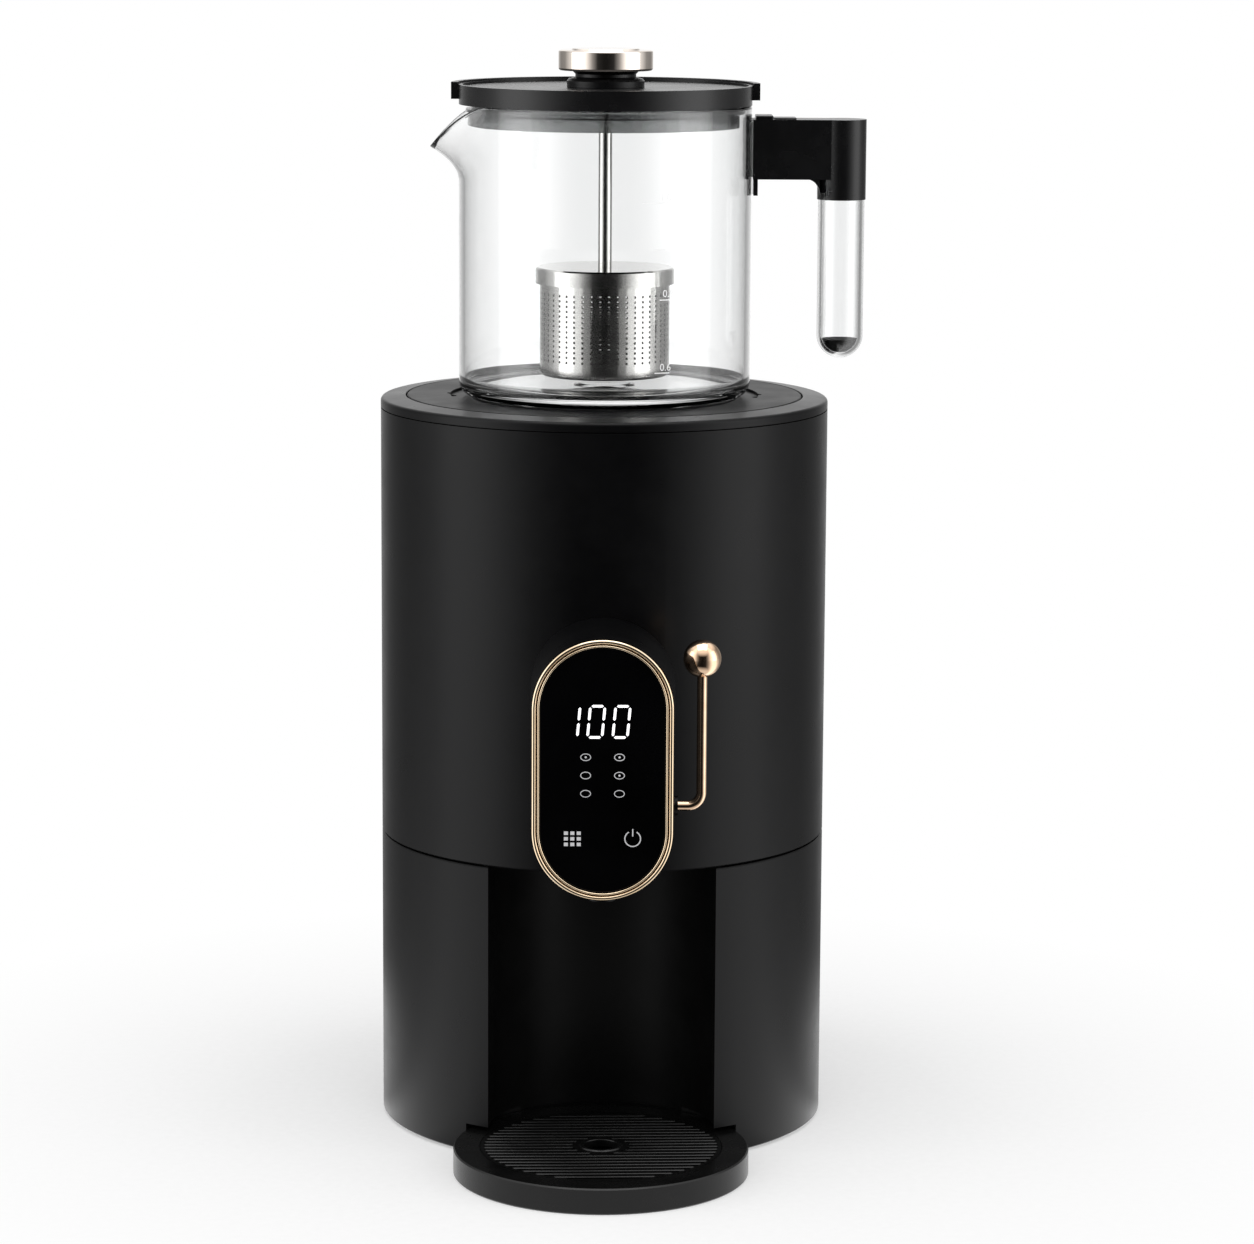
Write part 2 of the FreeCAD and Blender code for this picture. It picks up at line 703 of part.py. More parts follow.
def make_power_board():
    """Power circuit board standing behind the niche, with relay and terminals."""
    board_bottom = plate_top + BOSS_HEIGHT / 4
    board = box("board", BOARD_WIDTH, s.board_thickness, BOARD_HEIGHT, 0.0, BOARD_Y, board_bottom)
    relay = box("relay", RELAY[0], RELAY[1], RELAY[2], -BOARD_WIDTH / 4,
                BOARD_Y + s.board_thickness - 0.1, board_bottom + BOARD_HEIGHT / 2)
    terminals = box("terminals", RELAY[0], RELAY[1] * 0.8, RELAY[2] * 0.6, BOARD_WIDTH / 4,
                    BOARD_Y + s.board_thickness - 0.1, board_bottom + BOARD_HEIGHT / 2)
    register(fuse([board, relay, terminals]), "power_board")
    posts = []
    for x in (-BOARD_WIDTH / 3, BOARD_WIDTH / 3):
        post = box("guide", GUIDE_WIDTH, s.board_thickness * 5, board_bottom + 9.0 - plate_top,
                   x, BOARD_Y - s.board_thickness * 2, plate_top + s.close_fit)
        slot = box("slot", GUIDE_WIDTH + 1.0, s.board_thickness + s.close_fit * 2, 30.0,
                   x, BOARD_Y - s.close_fit, board_bottom - s.close_fit)
        posts.append(cut(post, slot))
    group("board_guides", posts)


def make_cord_gland():
    """Rubber gland in the rear of the lower shell, with an open bore."""
    outside = s.body_radius + GLAND_FLANGE
    flange = cylinder("flange", GLAND_RADIUS + 2.5, GLAND_FLANGE + 1.0, y=outside,
                      z=GLAND_HEIGHT, along="-Y")
    sleeve = cylinder("sleeve", GLAND_RADIUS - s.close_fit, GLAND_LENGTH, y=outside,
                      z=GLAND_HEIGHT, along="-Y")
    bore = cylinder("bore", GLAND_BORE, GLAND_LENGTH + 4.0, y=outside + 2.0,
                    z=GLAND_HEIGHT, along="-Y")
    shell = cylinder("inside", s.body_radius + s.close_fit, GLAND_RADIUS * 6,
                     z=GLAND_HEIGHT - GLAND_RADIUS * 3)
    ring = cut(flange, shell)
    register(cut(fuse([ring, sleeve]), bore), "cord_gland")


# Control pod and tap

def make_pod_housing():
    """Upright rounded pod on the housing's front, open towards the display."""
    body = new_body("pod_housing")
    length = s.pod_front - s.pod_back
    outline = sketch_on(body, "XZ_Plane", s.pod_back)
    draw_stadium(outline, s.pod_radius + POD_BACK_SPREAD, s.pod_half_length, s.pod_height)
    pad(body, outline, length, -s.pod_draft)
    hollow = sketch_on(body, "XZ_Plane", s.pod_back - 1.0)
    draw_stadium(hollow, s.pod_radius + POD_BACK_SPREAD - s.pod_wall, s.pod_half_length,
                 s.pod_height)
    pocket(body, hollow, length + 2.0, -s.pod_draft)
    rebate = sketch_on(body, "XZ_Plane", s.pod_front + s.bezel_height - s.bezel_depth
                       - s.close_fit)
    draw_stadium(rebate, s.bezel_radius + s.close_fit, s.pod_half_length, s.pod_height)
    pocket(body, rebate, s.bezel_depth)
    seat = sketch_on(body, "XY_Plane")
    draw_circle(seat, s.body_radius + s.close_fit)
    pocket(body, seat, s.upper_height)
    outlet = sketch_on(body, "XY_Plane", s.outlet_bottom - 2.0)
    draw_circle(outlet, s.outlet_radius + s.outlet_wall + s.close_fit, 0, -stem_setback)
    pocket(body, outlet, s.pod_height - s.outlet_bottom - s.pod_half_length)
    bush = sketch_on(body, "YZ_Plane")
    draw_circle(bush, s.bushing_radius + s.close_fit, -s.lever_setback, s.lever_height)
    pocket(body, bush, s.pod_radius * 2)


def make_pod_screws():
    """Two screws that hold the pod from inside the upper shell."""
    screws = []
    bosses = []
    for x, z in POD_SCREW_PLACES:
        height = s.pod_height + z
        depth = math.sqrt(shell_inner.value ** 2 - (abs(x) + SCREW_RADIUS * 2) ** 2)
        head_back = depth - SCREW_HEAD - s.close_fit
        head = cylinder("pod_screw_head", SCREW_RADIUS * 1.8, SCREW_HEAD, x, -head_back,
                        height, along="-Y")
        shank = cylinder("pod_screw_shank", SCREW_RADIUS, POD_SCREW_LENGTH, x, -head_back,
                         height, along="-Y")
        screws.append(fuse([head, shank]))
        bosses.append((x, height))
    group("pod_screws", screws)
    return bosses


def make_bezel_ring():
    """Gold ring round the display: a broad outer bead and a fine inner one."""
    body = new_body("bezel_ring")
    front = s.pod_front + s.bezel_height
    outline = sketch_on(body, "XZ_Plane", front - s.bezel_depth)
    draw_stadium(outline, s.bezel_radius, s.pod_half_length, s.pod_height)
    draw_stadium(outline, s.bezel_radius - s.bezel_width, s.pod_half_length, s.pod_height)
    pad(body, outline, s.bezel_depth)
    channel = sketch_on(body, "XZ_Plane", front - BEAD_GROOVE)
    middle = s.bezel_radius - s.bezel_width * 0.62
    draw_stadium(channel, middle + BEAD_GROOVE / 2, s.pod_half_length, s.pod_height)
    draw_stadium(channel, middle - BEAD_GROOVE / 2, s.pod_half_length, s.pod_height)
    pocket(body, channel, BEAD_GROOVE * 2)

    def on_outer_front(edge):
        bounds = edge.BoundBox
        flat = abs(bounds.YMin + front.value) < 1e-4 and abs(bounds.YMax + front.value) < 1e-4
        reach = max(abs(bounds.XMin), abs(bounds.XMax))
        return flat and abs(reach - s.bezel_radius.value) < 1e-3

    bevel(body, BEAD_BEVEL, on_outer_front)


def make_display():
    """Black display glass and the circuit board behind it."""
    front = s.pod_front + s.bezel_height - s.glass_recess
    radius = s.bezel_radius - s.bezel_width - s.close_fit
    glass = new_body("display_glass")
    outline = sketch_on(glass, "XZ_Plane", front - s.glass_thickness)
    draw_stadium(outline, radius, s.pod_half_length, s.pod_height)
    pad(glass, outline, s.glass_thickness)
    board = new_body("display_board")
    back = front - s.glass_thickness - s.board_thickness - BOARD_SPACE
    shape = sketch_on(board, "XZ_Plane", back)
    draw_stadium(shape, radius - 2.0, s.pod_half_length, s.pod_height)
    pad(board, shape, s.board_thickness)
    digits = sketch_on(board, "XZ_Plane", back + s.board_thickness)
    draw_rectangle(digits, -DIGITS[0] / 2, s.pod_height + DIGITS[2], DIGITS[0] / 2,
                   s.pod_height + DIGITS[2] + DIGITS[1])
    pad(board, digits, BOARD_SPACE - s.close_fit)


def make_tap_body():
    """Tap body with its valve seat, a side inlet and a cap round the stem."""
    axis_y = -stem_setback
    inner = s.tap_radius - s.tap_wall
    body = turned("tap_body", [
        (s.outlet_radius, s.tap_bottom),
        (s.tap_radius, s.tap_bottom),
        (s.tap_radius, s.tap_top),
        (s.stem_radius + s.running_fit, s.tap_top),
        (s.stem_radius + s.running_fit, s.tap_top - s.tap_wall),
        (inner, s.tap_top - s.tap_wall),
        (inner, s.valve_seat),
        (s.outlet_radius, s.valve_seat),
    ])
    inlet = sketch_on(body, "XZ_Plane", -TAP_INLET_LENGTH)
    draw_circle(inlet, s.hose_bore - s.close_fit, 0, s.inlet_height)
    pad(body, inlet, TAP_INLET_LENGTH - inner - 0.5)
    bore = sketch_on(body, "XZ_Plane", -TAP_INLET_LENGTH - 1.0)
    draw_circle(bore, s.hose_bore - NIPPLE_WALL, 0, s.inlet_height)
    pocket(body, bore, TAP_INLET_LENGTH)
    place(body, y=axis_y)


def make_water_path():
    """Outlet under the tap and the straight silicone hose from the boiler."""
    outlet = turned("outlet_nozzle", [
        (s.outlet_radius, s.outlet_bottom),
        (s.outlet_radius + s.outlet_wall, s.outlet_bottom),
        (s.outlet_radius + s.outlet_wall, s.tap_bottom - s.close_fit - 1.2),
        (s.tap_radius - 1.0, s.tap_bottom - s.close_fit - 1.2),
        (s.tap_radius - 1.0, s.tap_bottom - s.close_fit),
        (s.outlet_radius, s.tap_bottom - s.close_fit),
    ])
    place(outlet, y=-stem_setback)
    start = -(s.tank_radius + s.close_fit)
    end = -(stem_setback - s.tap_radius - s.close_fit)
    height = s.inlet_height
    outer = s.hose_bore + s.hose_wall
    hose = cut(cylinder("hose", outer, start - end, y=start, z=height, along="-Y"),
               cylinder("hose_bore", s.hose_bore, start - end, y=start, z=height, along="-Y"))
    register(hose, "feed_hose")
    clips = []
    for y in (start - 2.5, end + 6.5):
        band = cylinder("clip", outer + 0.9, 4.0, y=y, z=height, along="-Y")
        inside = cylinder("clip_bore", outer + s.close_fit / 2, 4.0, y=y, z=height, along="-Y")
        clips.append(cut(band, inside))
    group("hose_clips", clips)


def make_valve():
    """Valve stem with its slotted head, and the seal at its foot."""
    seal_top = s.valve_seat + s.seat_gap + s.seal_thickness
    head_width = s.pin_radius * 2 + s.crank_throw * 2
    slot_height = s.lever_height - s.crank_throw * math.sin(math.radians(s.crank_start.value))
    stem = cylinder("stem", s.stem_radius, slot_height - HEAD_REACH - seal_top + 1.0,
                    y=-stem_setback, z=seal_top)
    head = box("head", HEAD_THICKNESS, head_width, HEAD_REACH * 2, HEAD_X,
               -stem_setback - head_width / 2, slot_height - HEAD_REACH)
    slot_size = (s.pin_radius + s.pin_play) * 2
    slot = box("slot", HEAD_THICKNESS * 3, head_width - HEAD_RIM * 2, slot_size, HEAD_X,
               -stem_setback - head_width / 2 + HEAD_RIM, slot_height - slot_size / 2)
    register(cut(fuse([stem, head]), slot), "valve_stem")
    seal = cut(cylinder("seal", s.seal_radius, s.seal_thickness, y=-stem_setback,
                        z=seal_top - s.seal_thickness - s.close_fit / 3),
               cylinder("seal_eye", s.stem_radius / 2, s.seal_thickness * 3, y=-stem_setback,
                        z=s.valve_seat - s.seal_thickness))
    register(seal, "valve_seal")


def make_lever():
    """Lever rod bent upright beside the pod, its ball, its bush and its crank."""
    rod_y = -s.lever_setback.value
    low = s.lever_height.value
    bend = s.lever_bend.value
    reach = s.lever_reach.value
    inner_end = CRANK_X + 0.5
    path_points = (Vector(inner_end, rod_y, low), Vector(reach - bend, rod_y, low),
                   Vector(reach, rod_y, low + bend),
                   Vector(reach, rod_y, s.ball_height.value - s.ball_radius.value
                          + BALL_SOCKET - s.close_fit.value))
    middle = Vector(reach - bend + bend * math.sin(math.pi / 4), rod_y,
                    low + bend - bend * math.cos(math.pi / 4))
    path = Part.Wire([
        Part.LineSegment(path_points[0], path_points[1]).toShape(),
        Part.Arc(path_points[1], middle, path_points[2]).toShape(),
        Part.LineSegment(path_points[2], path_points[3]).toShape(),
    ])
    section = Part.Wire([Part.Circle(path_points[0], Vector(1, 0, 0),
                                     s.lever_rod_radius.value).toShape()])
    rod = doc.addObject("Part::Feature", "lever_rod")
    rod.Shape = path.makePipeShell([section], True, False)
    register(rod, "lever_rod")

    rod_hole = s.lever_rod_radius + s.close_fit / 3
    below = math.degrees(math.asin(rod_hole.value / s.ball_radius.value)) - 90
    surface = dome_points(s.ball_radius, size_of(0.0), BALL_STEPS, below, 84.0)
    ball = turned("lever_ball", [(0, s.ball_radius)] + surface[::-1]
                  + [(rod_hole, BALL_SOCKET - s.ball_radius), (0, BALL_SOCKET - s.ball_radius)])
    place(ball, s.lever_reach, -s.lever_setback, s.ball_height)

    wall_x = s.pod_radius
    sleeve = cylinder("bush", s.bushing_radius, BUSH_LENGTH, wall_x - BUSH_LENGTH + 1.0,
                      -s.lever_setback, s.lever_height, along="X")
    flange = cylinder("bush_flange", s.bushing_flange, 1.2, wall_x - BUSH_LENGTH + 1.0,
                      -s.lever_setback, s.lever_height, along="X")
    eye = cylinder("bush_eye", s.lever_rod_radius + s.running_fit, BUSH_LENGTH * 3,
                   wall_x - BUSH_LENGTH * 2, -s.lever_setback, s.lever_height, along="X")
    register(cut(fuse([sleeve, flange]), eye), "lever_bush")

    angle = math.radians(s.crank_start.value)
    pin_y = -s.lever_setback + s.crank_throw * math.cos(angle)
    pin_z = s.lever_height - s.crank_throw * math.sin(angle)
    disc = cylinder("disc", s.crank_radius, s.crank_thickness, CRANK_X, -s.lever_setback,
                    s.lever_height, along="X")
    eye = cylinder("disc_eye", s.lever_rod_radius + s.close_fit / 3, s.crank_thickness,
                   CRANK_X + 0.5 - s.close_fit, -s.lever_setback, s.lever_height, along="X")
    pin = cylinder("pin", s.pin_radius, PIN_LENGTH, CRANK_X - PIN_LENGTH + 0.3, pin_y, pin_z,
                   along="X")
    register(fuse([cut(disc, eye), pin]), "lever_crank")


# Boiler lid and teapot

def make_boiler_lid():
    """Lid plate with the teapot's recess, its seal and the soft pot ring."""
    underside = s.crown_height - s.lid_thickness
    body = turned("lid_plate", [
        (0, underside),
        (s.lid_radius, underside),
        (s.lid_radius, s.crown_height),
        (s.seat_radius, s.crown_height),
        (s.seat_radius, seat_floor),
        (0, seat_floor),
    ], bevels=[(2, 0.4)])
    notches = sketch_on(body, "XY_Plane", underside - 1.0)
    for side in (-1, 1):
        draw_circle(notches, NOTCH_RADIUS, side * (s.seat_radius - NOTCH_RADIUS * 0.3), 0)
    pocket(body, notches, s.lid_thickness + 2.0)
    ring_outer = s.rim_inner_radius - 3.0
    turned("lid_seal", [
        (ring_outer - 5.0, underside - s.close_fit - 2.4),
        (ring_outer, underside - s.close_fit - 2.4),
        (ring_outer, underside - s.close_fit),
        (ring_outer - 5.0, underside - s.close_fit),
    ])
    ring_edge = s.pot_radius - s.pot_corner
    turned("pot_seat_ring", ring_points(ring_edge - s.seat_ring_width, ring_edge,
                                        seat_floor, seat_floor + s.seat_ring_thickness))


def spout_section(radius, reach, height):
    """Outline of the spout at one height: a swelling that starts inside the wall."""
    half = math.radians(s.spout_half_angle.value)
    root = radius - SPOUT_SINK
    points = []
    for step in range(SPOUT_STEPS + 1):
        share = 2.0 * step / SPOUT_STEPS - 1.0
        swell = math.cos(share * math.pi / 2) ** SPOUT_POWER
        distance = root + (reach + SPOUT_RISE) * swell
        angle = math.pi + share * half
        points.append(Vector(distance * math.cos(angle), distance * math.sin(angle), height))
    curve = Part.BSplineCurve()
    curve.interpolate(points)
    return Part.Wire([curve.toShape(), Part.LineSegment(points[-1], points[0]).toShape()])


def spout_solid(radius):
    """Spout of the glass for one radius, drawn out as it rises."""
    low = s.spout_root.value
    high = s.pot_rim.value
    tip = s.spout_tip_height.value
    sections = []
    for share in SPOUT_LEVELS:
        height = low + share * (high - low)
        progress = min(1.0, (height - low) / (tip - low))
        growth = progress ** 2 * (3 - 2 * progress)
        beyond = max(0.0, height - tip) * SPOUT_LEAN
        sections.append(spout_section(radius, s.spout_reach.value * growth + beyond, height))
    return Part.makeLoft(sections, True, False)


def pot_shell(radius, bottom, corner, top):
    """Straight part of the glass for one radius, with an eased bottom edge."""
    ease = corner * (1 - math.sin(math.pi / 4))
    corners = [Vector(0, 0, bottom), Vector(radius - corner, 0, bottom),
               Vector(radius - ease, 0, bottom + ease), Vector(radius, 0, bottom + corner),
               Vector(radius, 0, top), Vector(0, 0, top), Vector(0, 0, bottom)]
    profile = Part.makePolygon(corners)
    return Part.Face(profile).revolve(Vector(), Vector(0, 0, 1), FULL_TURN)


def make_glass_jug():
    """Blown glass jug with a pulled spout and a rim that dips towards its lip."""
    radius = s.pot_radius.value
    bore = radius - s.pot_wall.value
    bottom = pot_bottom.value
    corner = s.pot_corner.value
    rim = s.pot_rim.value
    outside = pot_shell(radius, bottom, corner, rim).fuse(spout_solid(radius))
    floor = bottom + s.pot_floor.value
    inside = pot_shell(bore, floor, corner, rim).fuse(spout_solid(bore))
    dip_start = radius * math.cos(math.radians(s.spout_half_angle.value))
    tip_x = radius + s.spout_reach.value
    slope = math.atan2(rim - s.spout_tip_height.value, tip_x - dip_start)
    cutter = Part.makeBox(radius, radius * 4, radius)
    cutter.translate(Vector(-radius, -radius * 2, 0))
    cutter.rotate(Vector(), Vector(0, 1, 0), -math.degrees(slope))
    cutter.translate(Vector(-dip_start, 0, rim))
    glass = outside.cut(inside).cut(cutter)
    jug = doc.addObject("Part::Feature", "glass_jug")
    jug.Shape = glass.Solids[0]
    register(jug, "glass_jug")


def make_handle():
    """Handle bracket with its tongue, bonding pad, clear tube and end plug."""
    width = s.bracket_width
    arm = box("arm", s.handle_axis - s.pot_radius, width,
              s.bracket_top - s.bracket_bottom, (s.handle_axis + s.pot_radius) / 2,
              -width / 2, s.bracket_bottom)
    tongue = box("tongue", s.tongue_wall + 6.0, width * 0.6, s.bracket_top - s.tongue_bottom,
                 s.pot_radius - 6.0 + (s.tongue_wall + 6.0) / 2, -width * 0.3, s.tongue_bottom)
    socket = cylinder("socket", s.socket_radius, s.bracket_top - s.socket_bottom,
                      s.handle_axis, 0.0, s.socket_bottom)
    clearance = cylinder("pot_clearance", s.pot_radius + s.pad_thickness + s.close_fit * 2,
                         s.bracket_top, 0.0, 0.0, 0.0)
    well = cylinder("well", s.tube_radius + s.close_fit, s.tube_insert, s.handle_axis, 0.0,
                    s.socket_bottom - 0.5)
    register(cut(cut(fuse([arm, tongue, socket]), clearance), well), "handle_bracket")

    outer = cylinder("pad_outer", s.pot_radius + s.pad_thickness + s.close_fit,
                     s.bracket_top - s.bracket_bottom - 2.0, 0.0, 0.0, s.bracket_bottom + 1.0)
    inner = cylinder("pad_inner", s.pot_radius + s.close_fit,
                     s.bracket_top - s.bracket_bottom, 0.0, 0.0, s.bracket_bottom)
    patch = box("patch", 20.0, width - 2.0, s.bracket_top - s.bracket_bottom, s.pot_radius,
                -(width - 2.0) / 2, s.bracket_bottom)
    register(common(cut(outer, inner), patch), "handle_pad")

    top = s.socket_bottom + s.tube_insert - 1.0
    shoulder = s.tube_bottom + s.tube_radius
    bore = s.tube_radius - s.tube_wall
    outside = dome_points(s.tube_radius, shoulder, DOME_STEPS, DOME_START, 0.0)
    inside = dome_points(bore, shoulder, DOME_STEPS, 0.0, DOME_START)
    tube = turned("handle_tube", [(0, s.tube_bottom)] + outside
                  + [(s.tube_radius, top), (bore, top)] + inside
                  + [(0, shoulder - bore)])
    place(tube, s.handle_axis)
    plug_radius = bore - s.close_fit * 2
    rounded = dome_points(plug_radius, shoulder, DOME_STEPS, DOME_START, -PLUG_EDGE)
    plug = turned("handle_plug", [(0, shoulder - plug_radius)] + rounded
                  + [(0, shoulder - plug_radius * math.sin(math.radians(PLUG_EDGE)))])
    place(plug, s.handle_axis)


# Pot lid and infuser

def make_pot_lid():
    """Pot lid with its rear lip, the clear seal skirt and the rod's neck."""
    plate_top_height = band_top - 1.0
    guide_radius = s.rod_radius + s.running_fit
    boss_radius = NECK_BORE
    disc = turned("pot_lid_disc", [
        (boss_radius, band_bottom + 2.6),
        (s.skirt_radius - 3.0, band_bottom + 2.6),
        (s.skirt_radius - 3.0, band_bottom),
        (s.lid_band_radius, band_bottom),
        (s.lid_band_radius, band_top),
        (s.lid_band_radius - 1.6, band_top),
        (s.lid_band_radius - 1.6, plate_top_height),
        (boss_radius, plate_top_height),
    ])
    lip = sketch_on(disc, "XZ_Plane")
    draw_polygon(lip, [
        (s.lid_band_radius - 1.0, s.lip_height - s.lip_drop),
        (s.lip_radius, s.lip_height - s.lip_drop),
        (s.lip_radius, s.lip_height),
        (s.lip_radius - s.lip_wall, s.lip_height),
        (s.lip_radius - s.lip_wall, band_top - 2.0),
        (s.lid_band_radius - 1.0, band_top - 2.0),
    ])
    half = revolve(disc, lip, FULL_TURN / 2)
    half.Reversed = False
    doc.recompute()
    turned("pot_lid_skirt", [
        (s.skirt_radius - 2.0, s.pot_rim - s.skirt_depth),
        (s.skirt_radius, s.pot_rim - s.skirt_depth),
        (s.skirt_radius, s.pot_rim - 4.0),
        (s.pot_radius - s.pot_wall - 0.5, s.pot_rim - 3.0),
        (s.pot_radius - s.pot_wall - 0.5, s.pot_rim - 1.8),
        (s.skirt_radius, s.pot_rim - 1.8),
        (s.skirt_radius, band_bottom - s.close_fit),
        (s.skirt_radius - 2.0, band_bottom - s.close_fit),
    ])
    foot = plate_top_height + s.close_fit
    turned("rod_neck", [
        (guide_radius, band_bottom),
        (boss_radius - s.close_fit, band_bottom),
        (boss_radius - s.close_fit, foot),
        (s.neck_flange, foot),
        (s.neck_flange, foot + 3.4),
        (s.neck_radius, foot + 4.4),
        (s.neck_radius, s.knob_base - 1.6),
        (s.neck_radius + 1.4, s.knob_base - s.seat_gap),
        (guide_radius, s.knob_base - s.seat_gap),
    ], bevels=[(4, 0.8)])


def make_plunger():
    """Knob, rod and infuser cap, drawn up together through the pot lid."""
    knob_top = s.knob_base + s.knob_height
    turned("lid_knob", [
        (0, s.knob_base + 3.0),
        (s.rod_radius + s.close_fit / 3, s.knob_base + 3.0),
        (s.rod_radius + s.close_fit / 3, s.knob_base),
        (s.knob_radius - 1.0, s.knob_base),
        (s.knob_radius, s.knob_base + 1.0),
        (s.knob_radius, knob_top - 1.0),
        (s.knob_radius - 1.2, knob_top),
        (s.neck_radius + 1.5, knob_top + 0.4),
        (s.neck_radius - 0.5, knob_top + 1.6),
        (0, knob_top + 1.6),
    ])
    rod_bottom = s.cap_top - s.cap_wall
    turned("plunger_rod", [
        (0, rod_bottom - 3.0),
        (s.rod_radius + 2.0, rod_bottom - 3.0),
        (s.rod_radius + 2.0, rod_bottom - s.close_fit / 3),
        (s.rod_radius, rod_bottom - s.close_fit / 3),
        (s.rod_radius, s.knob_base + 3.0 - s.close_fit / 3),
        (0, s.knob_base + 3.0 - s.close_fit / 3),
    ])
    cap_bottom = s.cap_top - s.cap_height
    inner = s.cap_radius - s.cap_wall
    cap = turned("infuser_cap", [
        (s.rod_radius + s.close_fit / 3, rod_bottom),
        (inner, rod_bottom),
        (inner, cap_bottom),
        (s.cap_radius, cap_bottom),
        (s.cap_radius, s.cap_top),
        (s.rod_radius + s.close_fit / 3, s.cap_top),
    ], bevels=[(4, 0.7)])
    ledge = sketch_on(cap, "XZ_Plane")
    draw_rectangle(ledge, s.cup_radius + 0.3, cap_bottom + 0.4, inner + 0.1,
                   cap_bottom + 1.4)
    lug = revolve(cap, ledge, LEDGE_ANGLE)
    polar(cap, [lug], ledge, LUG_COUNT)


def make_infuser_cup():
    """Perforated steel cup with two lugs that lock over the cap's ledges."""
    top = s.cap_top - s.cap_height + 5.0
    inner = s.cup_radius - s.cap_wall
    body = turned("infuser_cup", [
        (0, s.cup_bottom),
        (s.cup_radius, s.cup_bottom),
        (s.cup_radius, top),
        (inner, top),
        (inner, s.cup_bottom + s.cap_wall),
        (0, s.cup_bottom + s.cap_wall),
    ], bevels=[(1, 1.6), (4, 0.9)])
    lugs = sketch_on(body, "XZ_Plane")
    ledge_top = s.cap_top - s.cap_height + 1.4
    draw_rectangle(lugs, s.cup_radius - 0.2, ledge_top + 0.15, s.cup_radius + 0.9,
                   ledge_top + 1.35)
    lug = revolve(body, lugs, LUG_ANGLE)
    polar(body, [lug], lugs, LUG_COUNT)
    holes = sketch_on(body, "XZ_Plane")
    for row in range(HOLE_ROWS):
        bottom = s.hole_start + s.hole_rise * row
        draw_rectangle(holes, -s.hole_width / 2, bottom, s.hole_width / 2,
                       bottom + s.hole_height)
    openings = pocket(body, holes, s.cup_radius + 1.0)
    polar(body, [openings], holes, HOLE_COLUMNS)


# Drip tray

def make_drip_tray():
    """Round drip tray: a basin with a ledge for its grille, inside a hollow rim."""
    top = s.tray_height
    opening = s.grille_radius + s.grille_gap
    basin = opening - s.tray_wall
    rim_inner = opening + s.tray_wall
    skirt_inner = s.tray_radius - s.tray_wall
    shelf = top - s.grille_thickness - s.seat_gap
    tray = turned("tray_dish", [
        (0, s.close_fit),
        (rim_inner, s.close_fit),
        (rim_inner, top - s.tray_wall),
        (skirt_inner, top - s.tray_wall),
        (skirt_inner, s.close_fit),
        (s.tray_radius, s.close_fit),
        (s.tray_radius, top),
        (opening, top),
        (opening, shelf),
        (basin, shelf),
        (basin, s.tray_floor),
        (0, s.tray_floor),
    ], bevels=[(5, EDGE_BEVEL), (6, EDGE_BEVEL)])
    place(tray, y=-s.tray_setback)
    make_grille(top)


def make_grille(top):
    """Grille with rows of slots and a finger hole in its middle boss."""
    bottom = top - s.grille_thickness
    grille = turned("tray_grille", ring_points(s.finger_hole_radius, s.grille_radius, bottom, top))
    field = s.field_radius.value
    boss = s.grille_boss_radius.value
    pitch = s.slot_pitch.value
    slots = sketch_on(grille, "XY_Plane", bottom - 1.0)
    rows = int(field / pitch)
    for row in range(-rows, rows + 1):
        reach = math.sqrt(field ** 2 - (row * pitch) ** 2)
        if reach < pitch:
            continue
        low = s.slot_pitch * row - s.slot_width / 2
        spans = [(-reach, reach)]
        if abs(row * pitch) < boss:
            inner = math.sqrt(boss ** 2 - (row * pitch) ** 2) + 1.0
            spans = [(-reach, -inner), (inner, reach)]
        for left, right in spans:
            draw_rectangle(slots, left, low, right, low + s.slot_width)
    pocket(grille, slots, s.grille_thickness + 2.0)
    place(grille, y=-s.tray_setback)
    bind(grille, "Placement.Rotation.Angle", s.grille_turn)


# Places and small sizes that only one or two pieces use
BOSS_HEIGHT = 14.0
SCREW_RADIUS = 1.6
SCREW_HEAD = 1.0
BOSS_PLACES = ((-72.0, 46.0), (72.0, 46.0), (-84.0, -20.0), (84.0, -20.0))
FOOT_ANGLES = (4.0, 62.0, 118.0, 176.0)
EDGE_BEVEL = 0.6
GLAND_RADIUS = 6.0
GLAND_BORE = 3.5
GLAND_FLANGE = 2.5
GLAND_LENGTH = 14.0
GLAND_HEIGHT = 22.0
WIRE_HOLE_RADIUS = 9.0
WIRE_HOLE_Y = 40.0
LEDGE_LAP = 3.0
LEDGE_DEPTH = 8.0
TANK_CORNER = 6.0
POD_SCREW_PLACES = ((-24.6, 12.0), (24.6, 30.0))
POD_SCREW_LENGTH = 16.0
POD_BACK_SPREAD = 0.6
THERMOSTAT = (8.0, 6.0)
FUSE = (5.0, 4.0)
FUSE_OFFSET = 24.0
PROBE_RADIUS = 4.0
PROBE_HEIGHT = 9.0
PROBE_OFFSET = 66.0
BOARD_WIDTH = 90.0
BOARD_HEIGHT = 70.0
BOARD_Y = 20.0
RELAY = (20.0, 16.0, 16.0)
GUIDE_WIDTH = 8.0
BEAD_GROOVE = 0.8
BEAD_BEVEL = 0.8
BOARD_SPACE = 2.4
DIGITS = (28.0, 18.0, 10.0)
TAP_INLET_LENGTH = 22.0
SPIGOT_LENGTH = 14.0
NIPPLE_WALL = 1.0
HEAD_REACH = 3.4
HEAD_THICKNESS = 4.0
HEAD_RIM = 1.6
HEAD_X = 0.0
CRANK_X = 3.0
PIN_LENGTH = 4.6
BUSH_LENGTH = 6.0
NOTCH_RADIUS = 2.2
SPOUT_STEPS = 8
SPOUT_POWER = 2
SPOUT_LEAN = 0.35
SPOUT_SINK = 1.2
SPOUT_RISE = 1.0
SPOUT_LEVELS = (0.0, 0.16, 0.32, 0.5, 1.0)
NECK_BORE = 8.0
LEDGE_ANGLE = 60.0
